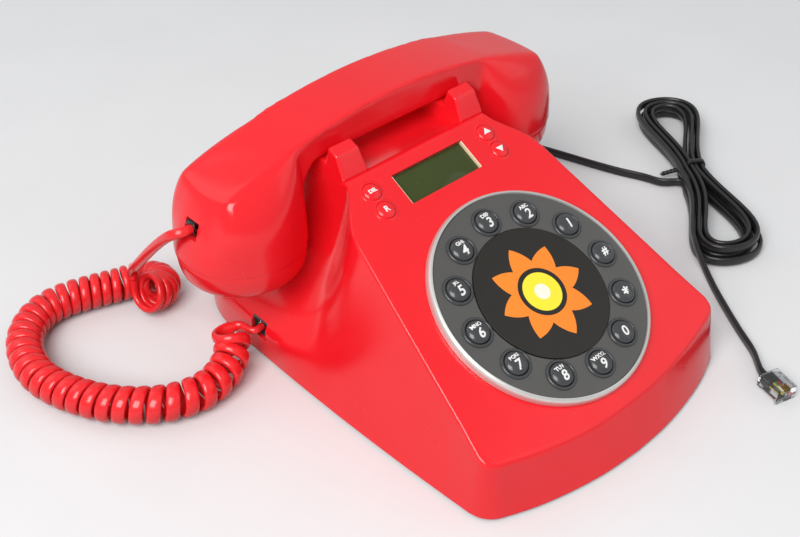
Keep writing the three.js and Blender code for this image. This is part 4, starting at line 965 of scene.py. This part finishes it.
def upper_housing():
    body = housing_body("upper_housing_shell", 0, FOOT_HEIGHT, 1.6, 26)
    soften(body, flank_weight, 30)
    cut(body, horn(1), horn(-1), *button_rims(), operation="UNION")
    cut(body, housing_body("hollow", WALL, -4, 0, 14))
    tools = [on_face(rod("dial_hole", 43.1, -8, 8, sides=128))]
    window_low = (-WINDOW_HALF, WINDOW_V - WINDOW_TALL / 2, -8)
    window_high = (WINDOW_HALF, WINDOW_V + WINDOW_TALL / 2, 8)
    tools.append(on_face(block("window", window_low, window_high)))
    for place in button_places():
        tools.append(on_face(rod("button_hole", BUTTON_RADIUS + BUTTON_GAP, -6, 6, *place)))
    for x in PLUNGER_XS:
        tools.append(rod("plunger_hole", 3.5, FACE_TOP_Z - 9, SEAT_Z + 4, x, CRADLE_Y))
    tools.append(cord_opening("jack_opening", -HALF_WIDTH - 6, -HALF_WIDTH + 7, JACK_Y, JACK_Z, 0.75))
    relief = rod("relief_hole", 3.9, -8, 8)
    relief.data.transform(Matrix.Translation(RELIEF * MM) @ Matrix.Rotation(math.pi / 2, 4, "X"))
    tools.append(relief)
    cut(body, *tools)
    settle(body, "base", "red_plastic", red_abs, "upper_housing", smooth=32, flat_first=True)
    lining = cord_opening("jack_lining", -HALF_WIDTH + 1.9, -HALF_WIDTH + 5.6, JACK_Y, JACK_Z, 0.7)
    cut(lining, cord_opening("jack_mouth", -HALF_WIDTH - 6, -HALF_WIDTH + 7, JACK_Y, JACK_Z))
    settle(lining, "base", "grey_plastic", key_abs, smooth=35)


upper_housing()

# --- Handset ---

CUP_SHARES = [
    (0, -0.78, 0, 3), (24, -0.78, 0.28, 3), (46, -0.78, 0.52, 3), (64, -0.62, 0.57, 3), (78, -0.4, 0.575, 3),
    (90, -0.14, 0.58, 3), (102, 0.1, 0.585, 3), (116, 0.32, 0.59, 3), (132, 0.5, 0.575, 3),
    (146, 0.545, 0.4, 1.7), (163, 0.575, 0.2, 1.35), (180, 0.585, 0, 1.2),
]
HANDLE_REACH = CUP_X - 0.789 * CUP_RADIUS
VOXEL = 0.9


def handle_top(x):
    """Height of the handset's arched top."""
    return HANDLE_TOP_Z - HANDLE_SAG * (x / CUP_X) ** 2


def cup_body(name, side, inset, low):
    """One cup of the handset: round at its rim, and the shape of CUP_SHARES at its top."""
    mirrored = [(-a, o, -s, p) for a, o, s, p in reversed(CUP_SHARES[1:-1])]
    closed = [*CUP_SHARES, *[(360 + a, o, s, p) for a, o, s, p in mirrored]]
    dense = smooth_path([*closed, (360, *CUP_SHARES[0][1:])], 6)[:-1]
    rings = []
    for level in np.linspace(0, 1, 28):
        ring = []
        for angle, out, aside, late in dense:
            turn = math.radians(angle)
            radius = CUP_RADIUS - inset
            out_mm = out * CUP_RADIUS - math.copysign(inset, out)
            aside_mm = math.copysign(max(0, abs(aside) * CUP_RADIUS - inset), aside)
            change = level**late
            x = -radius * math.cos(turn) * (1 - change) + out_mm * change
            y = radius * math.sin(turn) * (1 - change) + aside_mm * change
            top = handle_top(CUP_X + out_mm) - inset
            base = SEAM_Z + FIT / 2
            z = low if level == 0 else base + level * (top - base)
            ring.append((side * (CUP_X + x), CRADLE_Y + y, z))
        rings.append(ring)
    return skin(name, rings)


def handle_body(name, inset):
    rings = []
    for x in np.linspace(-HANDLE_REACH - 4, HANDLE_REACH + 4, 60):
        half = HANDLE_HALF + (x / CUP_X) ** 2 - inset
        top = handle_top(x) - inset
        deeper = max(0, (abs(x) - HANDLE_REACH + 11.2) / 12)
        low = HANDLE_TOP_Z - HANDLE_THICK - 15 * deeper**2.5 + inset
        right = [(half, top), (half, low + 4)]
        for a in np.linspace(0, math.pi / 2, 7)[1:]:
            right.append((half - 4 + 4 * math.cos(a), low + 4 - 4 * math.sin(a)))
        left = [(-y, z) for y, z in reversed(right)]
        rings.append([(x, CRADLE_Y + y, z) for y, z in right + left])
    return skin(name, rings)


def handset_shell():
    rim = SEAM_Z + SEAM_GAP / 2
    low = rim - 4
    body = handle_body("handset_shell_moulded", 0)
    cut(body, cup_body("cup", 1, 0, low), cup_body("cup", -1, 0, low), operation="UNION")
    body.data.remesh_voxel_size = VOXEL * MM
    pick(body)
    bpy.ops.object.voxel_remesh()
    modify(body, "SMOOTH", factor=0.5, iterations=8)
    soften(body, lambda x, y, z: ramp(abs(x), 44, 58) * ramp(z, SEAM_Z + 14, SEAM_Z + 24), 60)
    reach = CUP_X + CUP_RADIUS + 5
    below = block("below_rim", (-reach, CRADLE_Y - reach, low - 5), (reach, CRADLE_Y + reach, rim))
    inset = WALL + 0.8
    hollow = handle_body("hollow", inset)
    cut(hollow, cup_body("cup", 1, inset, low - 6), cup_body("cup", -1, inset, low - 6), operation="UNION")
    outside = -CUP_X - CUP_RADIUS * 1.1
    cut(body, below, hollow, cord_opening("cord_hole", outside, HOLE_FLOOR, CRADLE_Y, HOLE_Z))
    settle(body, "handset", "red_plastic", red_abs, "handset_shell", smooth=40)


def cup_cap(name, side, node, holes, hole_radius, circle):
    """The screwed cap of one cup, with a circle of sound holes."""
    outer = [
        (0.8, 0), (0.835, 0.015), (0.87, 0.06), (0.905, 0.13), (0.93, 0.22), (0.95, 0.35), (0.965, 0.5),
        (0.975, 0.75), (0.98, 0.96), (0.972, 1),
    ]
    top = SEAM_Z - SEAM_GAP / 2
    tall = top - CAP_BOTTOM_Z
    spigot = CUP_RADIUS - WALL - FIT - 1
    profile = [(0, CAP_BOTTOM_Z)]
    profile += [(r * CUP_RADIUS, CAP_BOTTOM_Z + h * tall) for r, h in outer]
    profile += [(spigot, top), (spigot, SEAM_Z + 2.5), (spigot - 2.2, SEAM_Z + 2.5)]
    profile += [((spigot - 2.2) * 0.93, CAP_BOTTOM_Z + 2.4), (0, CAP_BOTTOM_Z + 2.4)]
    cap = turned(name, profile, 96)
    tools = []
    for i in range(holes):
        turn = 2 * math.pi * i / holes
        x, y = circle * math.cos(turn), circle * math.sin(turn)
        tools.append(rod("sound_hole", hole_radius, CAP_BOTTOM_Z - 3, CAP_BOTTOM_Z + 5, x, y, 20))
    cut(cap, *tools)
    shift(cap, side * CUP_X, CRADLE_Y)
    settle(cap, "handset", "red_plastic", red_abs, node, smooth=30)


handset_shell()
cup_cap("mouthpiece_screw_cap", -1, "mouthpiece_cap", 6, 1, 6)
cup_cap("earpiece_screw_cap", 1, "earpiece_cap", 8, 1.3, 9)

# --- Dial ---


def rounded(profile, corners, radius, steps=5):
    """The profile with the numbered corners rounded."""
    made = []
    count = len(profile)
    for i, point in enumerate(profile):
        if i not in corners:
            made.append(point)
            continue
        here = Vector(point)
        before = Vector(profile[i - 1]) - here
        after = Vector(profile[(i + 1) % count]) - here
        reach = min(radius, before.length * 0.49, after.length * 0.49)
        start = here + before.normalized() * reach
        end = here + after.normalized() * reach
        for t in np.linspace(0, 1, steps):
            made.append(tuple(start * (1 - t) ** 2 + here * 2 * t * (1 - t) + end * t**2))
    return made


def dial_bezel():
    low = FIT
    profile = [
        (BEZEL_CREST, low), (BEZEL_OUTER, low), (BEZEL_OUTER, 1.4), (BEZEL_OUTER - 0.08, 2.1),
        (BEZEL_OUTER - 0.3, 2.8), (BEZEL_OUTER - 0.62, 3.35), (BEZEL_OUTER - 0.98, 3.75),
        (BEZEL_CREST + 0.15, BEZEL_HEIGHT - 0.05), (BEZEL_CREST, BEZEL_HEIGHT - 0.25),
    ]
    ring = on_face(turned("dial_bezel_ring", profile, 160))
    settle(ring, "base", "silver_ring", silver_paint, "dial_bezel", smooth=50)


# In the order of key_places
DIAL_KEYS = ["3", "2", "1", "hash", "star", "0", "9", "8", "7", "6", "5", "4"]


def key_places():
    """The dial keys' middles on the face, clockwise from the top."""
    turns = [math.pi / 2 - 2 * math.pi * i / 12 for i in range(12)]
    return [(KEY_CIRCLE * math.cos(a), KEY_CIRCLE * math.sin(a)) for a in turns]


def dial_plate():
    plate_low = FIT
    skirt_low = -4.7
    profile = [
        (0, plate_low), (41.2, plate_low), (41.2, skirt_low), (42.8, skirt_low), (42.8, plate_low),
        (BEZEL_CREST - 0.1, plate_low), (BEZEL_CREST - 0.1, PLATE_TOP), (DISC_RADIUS + FIT, PLATE_TOP),
        (DISC_RADIUS + FIT, PLATE_TOP - 0.9), (0, PLATE_TOP - 0.9),
    ]
    plate = turned("dial_plate_moulded", rounded(profile, (6, 7), 0.4), 160)
    hole = KEY_RADIUS + FIT
    collar = [
        (hole, PLATE_TOP - 0.5), (COLLAR_OUTER, PLATE_TOP - 0.5), (COLLAR_OUTER, PLATE_TOP),
        (COLLAR_OUTER - 0.1, PLATE_TOP + 0.5), (COLLAR_OUTER - 0.38, PLATE_TOP + 0.85),
        (COLLAR_OUTER - 0.75, PLATE_TOP + 0.95), (hole + 0.12, PLATE_TOP + 0.8), (hole, PLATE_TOP + 0.6),
    ]
    rings = copies(turned("collar", collar, 48), ["key_collar"] * 12, key_places())
    holes = [rod("key_hole", hole, -4, PLATE_TOP + 4, x, y, 48) for x, y in key_places()]
    rings = on_face(join("key_collars", rings))
    settle(rings, "base", "grey_plastic", key_abs, smooth=45)
    cut(plate, join("key_holes", holes))
    on_face(plate)
    settle(plate, "base", "grey_plastic", grey_abs, "dial_plate", smooth=35, flat_first=True)


def dome_height(r):
    """Height of a key's domed top above the face, at a distance from its middle."""
    share = min(1, r / KEY_RADIUS)
    edge, top = PLATE_TOP + 0.9, PLATE_TOP + 2.6
    return edge + (top - edge) * (1 - share**2.6) ** 0.7


def dial_keys():
    radii = [0, 0.8, 1.6, 2.4, 3.0, 3.5, 3.9, 4.2, 4.45, 4.62, 4.74, 4.8]
    profile = [(0, -1.2), (5.5, -1.2), (5.5, 0), (KEY_RADIUS, 0)]
    profile += [(r, dome_height(r)) for r in reversed(radii)]
    domes = copies(turned("key_dome", profile, 48), [f"key_dome_{name}" for name in DIAL_KEYS], key_places())
    for name, key in zip(DIAL_KEYS, domes):
        body = f"dial_key_{name}"
        settle(on_face(key), body, "key_plastic", key_abs, body, smooth=40)


def written(words, tall, bold=0.0, slant=0.0):
    """Words as a flat mesh in mm round the origin, scaled to the given height; laid_on divides it finely to
    follow a dome.
    """
    deselect()
    bpy.ops.object.text_add()
    obj = named("words")
    obj.data.body = words
    obj.data.size = 1.4 * tall * MM
    obj.data.align_x, obj.data.align_y = "CENTER", "CENTER"
    obj.data.offset = bold
    obj.data.shear = slant
    obj.data.resolution_u = 4
    pick(obj)
    bpy.ops.object.convert(target="MESH")
    obj = bpy.context.active_object
    low = Vector([min(v.co[k] for v in obj.data.vertices) for k in range(3)])
    high = Vector([max(v.co[k] for v in obj.data.vertices) for k in range(3)])
    scale = tall * MM / max(high.y - low.y, 1e-9)
    obj.data.transform(Matrix.Scale(scale, 4) @ Matrix.Translation(-(low + high) / 2))
    return obj


def laid_on(obj, height, cuts=2, lift=0.03):
    """Lays a flat mesh on a dome: height gives the surface at a distance from the middle, in mm."""
    pick(obj)
    bpy.ops.object.mode_set(mode="EDIT")
    bpy.ops.mesh.select_all(action="SELECT")
    bpy.ops.mesh.quads_convert_to_tris()
    bpy.ops.mesh.subdivide(number_cuts=cuts)
    bpy.ops.object.mode_set(mode="OBJECT")
    for vertex in obj.data.vertices:
        r = math.hypot(vertex.co.x, vertex.co.y) / MM
        vertex.co.z = (height(r) + lift) * MM
    return modify(obj, "SOLIDIFY", thickness=0.09 * MM, offset=-1)


def key_marks():
    """White digits and letters on the twelve key domes."""
    marks = {
        "1": ("1", ""), "2": ("2", "ABC"), "3": ("3", "DEF"), "4": ("4", "GHI"), "5": ("5", "JKL"),
        "6": ("6", "MNO"), "7": ("7", "PQRS"), "8": ("8", "TUV"), "9": ("9", "WXYZ"), "0": ("0", ""),
        "star": ("*", ""), "hash": ("#", ""),
    }
    for name, place in zip(DIAL_KEYS, key_places()):
        digit, letters = marks[name]
        tall = 3.6 if name in ("star", "hash") else 4.2
        parts = [written(digit, tall, bold=0.00012, slant=0.12)]
        shift(parts[0], 0, -1.1 if letters else -0.2)
        if letters:
            parts.append(written(letters, 1.75, bold=0.00009))
            shift(parts[1], 0, 2.35)
        mark = on_face(shift(laid_on(join(f"key_mark_{name}", parts), dome_height), *place))
        settle(mark, f"dial_key_{name}", "key_plastic", white_ink, smooth=60)


def center_disc():
    profile = [
        (0, PLATE_TOP - 0.6), (DISC_RADIUS, PLATE_TOP - 0.6), (DISC_RADIUS, PLATE_TOP + DISC_PROUD),
        (0, PLATE_TOP + DISC_PROUD),
    ]
    disc = on_face(turned("dial_disc_label", rounded(profile, (2,), 0.2), 128))
    settle(disc, "base", "disc_plastic", disc_print, "dial_center_disc", smooth=40)


dial_bezel()
dial_plate()
dial_keys()
key_marks()
center_disc()

# --- Display and function keys ---

BUTTONS = {"delete": (-1, 0), "redial": (-1, 1), "up": (1, 0), "down": (1, 1)}


def button_height(r):
    share = min(1, r / BUTTON_RADIUS)
    return 0.45 + 1.15 * (1 - share**2.2) ** 0.7


def triangle(name, turn):
    """A triangular mark that points up the face, or down it when turned half round."""
    deselect()
    bpy.ops.mesh.primitive_circle_add(vertices=3, radius=2.1 * MM, fill_type="NGON")
    obj = named(name)
    obj.data.transform(Matrix.Rotation(turn, 4, "Z") @ Matrix.Diagonal((1.06, 0.86, 1, 1)))
    return obj


def function_keys():
    radii = [0, 0.7, 1.4, 2.0, 2.6, 3.0, 3.35, 3.6, 3.8, 3.87, 3.9]
    profile = [(0, -5.3), (1.95, -5.3), (1.95, -4), (4.3, -4), (4.3, -2.8), (BUTTON_RADIUS, -2.8)]
    profile += [(r, button_height(r)) for r in reversed(radii)]
    dome = turned("function_dome", profile, 40)
    for name, (side, row) in BUTTONS.items():
        body, place = f"function_key_{name}", (side * BUTTON_U, BUTTON_VS[row])
        key = on_face(copy_of(dome, f"function_dome_{name}", place))
        settle(key, body, "red_plastic", red_abs, body, smooth=40)
        if name in ("up", "down"):
            mark = laid_on(triangle(f"function_mark_{name}", math.pi * row), button_height, 7)
        else:
            words, tall = ("DEL", 1.7) if name == "delete" else ("R", 2.6)
            mark = laid_on(written(words, tall, bold=0.0001), button_height)
        mark.name = f"function_mark_{name}"
        settle(on_face(shift(mark, *place)), body, "key_plastic", white_ink, smooth=60)
    bpy.data.objects.remove(dome)


def display():
    half, tall = WINDOW_HALF, WINDOW_TALL / 2

    def pane(name, half_wide, half_tall, low, high, bevel):
        lower, upper = (-half_wide, WINDOW_V - half_tall, low), (half_wide, WINDOW_V + half_tall, high)
        return block(name, lower, upper, bevel)

    outer = pane("display_frame_moulded", half + 2, tall + 2, -4.4, -2.8, 0.2)
    cut(outer, pane("opening", half - 0.6, tall + 0.3, -8, 2, 0.3))
    cheeks = []
    for side in (-1, 1):
        low, high = sorted((side * (half - 0.65), side * (half - 0.08)))
        lower, upper = (low, WINDOW_V - tall + 0.2, -3.4), (high, WINDOW_V + tall - 0.2, -0.35)
        cheeks.append(block("cheek", lower, upper, bevel=0.2))
    cut(outer, *cheeks, operation="UNION")
    settle(on_face(outer), "base", "cream_plastic", cream_styrene, "display_frame", smooth=35)
    glass = pane("display_window_glass", half + 2, tall + 2, -6.5, -4.7, 0.25)
    cut(glass, pane("raised", half - 0.8, tall - 0.15, -5.5, -1.8, 0.25), operation="UNION")
    settle(on_face(glass), "base", "display", display_glass, "display_glass", smooth=35)


function_keys()
display()

# --- Feet, screws and hook ---


FOOT_PLACES = [(-48, -88), (48, -88), (-48, 82), (48, 82)]
SCREW_PLACES = [(-52, -74), (52, -74), (-56, 64), (56, 64)]


def feet_and_screws():
    foot = turned("rubber_pad", rounded([(0, 0), (6.5, 0), (6.5, 1.35), (0, 1.35)], (1, 2), 0.5), 48)
    pads = copies(foot, [f"rubber_pad_{i}" for i in range(1, 5)], FOOT_PLACES)
    for i, pad in enumerate(pads, 1):
        settle(pad, "base", "rubber", black_rubber, f"rubber_foot_{i}", smooth=40)
    profile = [(0, 1.8), (2.6, 1.8), (3, 2.0), (3, 2.45), (1.25, 2.5), (1.25, 13), (0.6, 13.5), (0, 13.5)]
    screw = turned("base_screw_turned", profile, 40)
    for wide, tall in ((1.6, 0.35), (0.35, 1.6)):
        cut(screw, block("slot", (-wide, -tall, 1.4), (wide, tall, 2.2)))
    names = [f"base_screw_turned_{i}" for i in range(1, 5)]
    screws = copies(screw, names, [(0, 0)] * 4)
    for i, (made, place) in enumerate(zip(screws, SCREW_PLACES)):
        made.data.transform(Matrix.Rotation(0.4 * i, 4, "Z"))
        shift(made, *place)
        settle(made, "base", "steel", zinc_steel, f"base_screw_{i + 1}", smooth=30)


def plunger_tips():
    """Rounded tips on the two plungers of the cradle."""
    top = SEAT_Z + 0.03
    drops = [(0, 0), (1.9, 0.05), (2.7, 0.35), (3.1, 0.9), (3.24, 1.6), (3.24, 7), (0, 7)]
    tip = turned("plunger_tip", [(r, top - drop) for r, drop in drops], 48)
    places = [(x, CRADLE_Y) for x in PLUNGER_XS]
    for made in copies(tip, ["plunger_tip_left", "plunger_tip_right"], places):
        settle(made, "hook", "grey_plastic", grey_abs, smooth=40)


feet_and_screws()
plunger_tips()

# --- Solids that stay as they are, with their own finish ---

for finish, kept in (
    (grey_abs, ("base_plate", "handset_jack", "handset_socket", "hook_switch", "hook_yoke")),
    (zinc_steel, ("ballast_weight", "ringer_speaker", "hook_spring", "handset_weight")),
    (zinc_steel, ("microphone_capsule", "receiver_capsule")),
    (solder_resist, ("main_board", "keypad_board", "display_board")),
    (black_rubber, ("keypad_mat",)),
):
    for name in kept:
        nodes[name].data.materials.clear()
        nodes[name].data.materials.append(finish)

# --- Floor and light ---

# Name, place and size in metres, power in watts
LAMPS = [
    ("key_lamp", (-1.0, -0.5, 1.15), 1.0, 24),
    ("fill_lamp", (1.0, -1.0, 0.9), 1.2, 2),
    ("back_lamp", (-0.6, 1.2, 1.3), 1.2, 3),
]
LAMPS_AIM = Vector((0, 0, 0.04))


def seen_directly(tree):
    """1 where the camera sees a thing itself, in a reflection or through something clear."""
    path = add(tree, "ShaderNodeLightPath", {}).outputs
    mirrored = {"operation": "MAXIMUM", 0: path["Is Glossy Ray"], 1: path["Is Transmission Ray"]}
    mirrored = add(tree, "ShaderNodeMath", mirrored).outputs[0]
    either = {"operation": "MAXIMUM", 0: path["Is Camera Ray"], 1: mirrored}
    return add(tree, "ShaderNodeMath", either).outputs[0]


def studio():
    deselect()
    bpy.ops.mesh.primitive_plane_add(size=8)
    floor = named("floor")
    floor.data.materials.clear()
    paper, tree, shader, place = begin("paper_backdrop_matt", Roughness=0.85)
    fibre = add(tree, "ShaderNodeTexNoise", {"Vector": place, "Scale": 1 / 0.06, "Detail": 4.0})
    pale = {"data_type": "RGBA", "Factor": fibre.outputs["Fac"], 6: "#e6e6e6", 7: "#dfdfdf"}
    pale = add(tree, "ShaderNodeMix", pale).outputs[2]
    shown = {"data_type": "RGBA", "Factor": seen_directly(tree), 6: "#747474", 7: pale}
    tree.links.new(add(tree, "ShaderNodeMix", shown).outputs[2], shader.inputs["Base Color"])
    floor.data.materials.append(paper)
    for name, place, size, power in LAMPS:
        lamp = bpy.data.objects.new(name, bpy.data.lights.new(name, "AREA"))
        lamp.data.shape = "SQUARE"
        lamp.data.size = size
        lamp.data.energy = power
        lamp.location = place
        lamp.rotation_euler = (LAMPS_AIM - Vector(place)).to_track_quat("-Z", "Y").to_euler()
        bpy.context.scene.collection.objects.link(lamp)
    world = bpy.data.worlds.new("studio")
    world.use_nodes = True
    bpy.context.scene.world = world
    tree = world.node_tree
    tree.nodes.clear()
    soft = add(tree, "ShaderNodeBackground", {"Color": (0.9, 0.92, 0.95, 1), "Strength": 0.45}).outputs[0]
    white = add(tree, "ShaderNodeBackground", {"Color": (1, 1, 1, 1), "Strength": 0.5}).outputs[0]
    mix = add(tree, "ShaderNodeMixShader", {0: seen_directly(tree), 1: soft, 2: white}).outputs[0]
    add(tree, "ShaderNodeOutputWorld", {"Surface": mix})
    bpy.context.scene.view_settings.view_transform = "Standard"


studio()
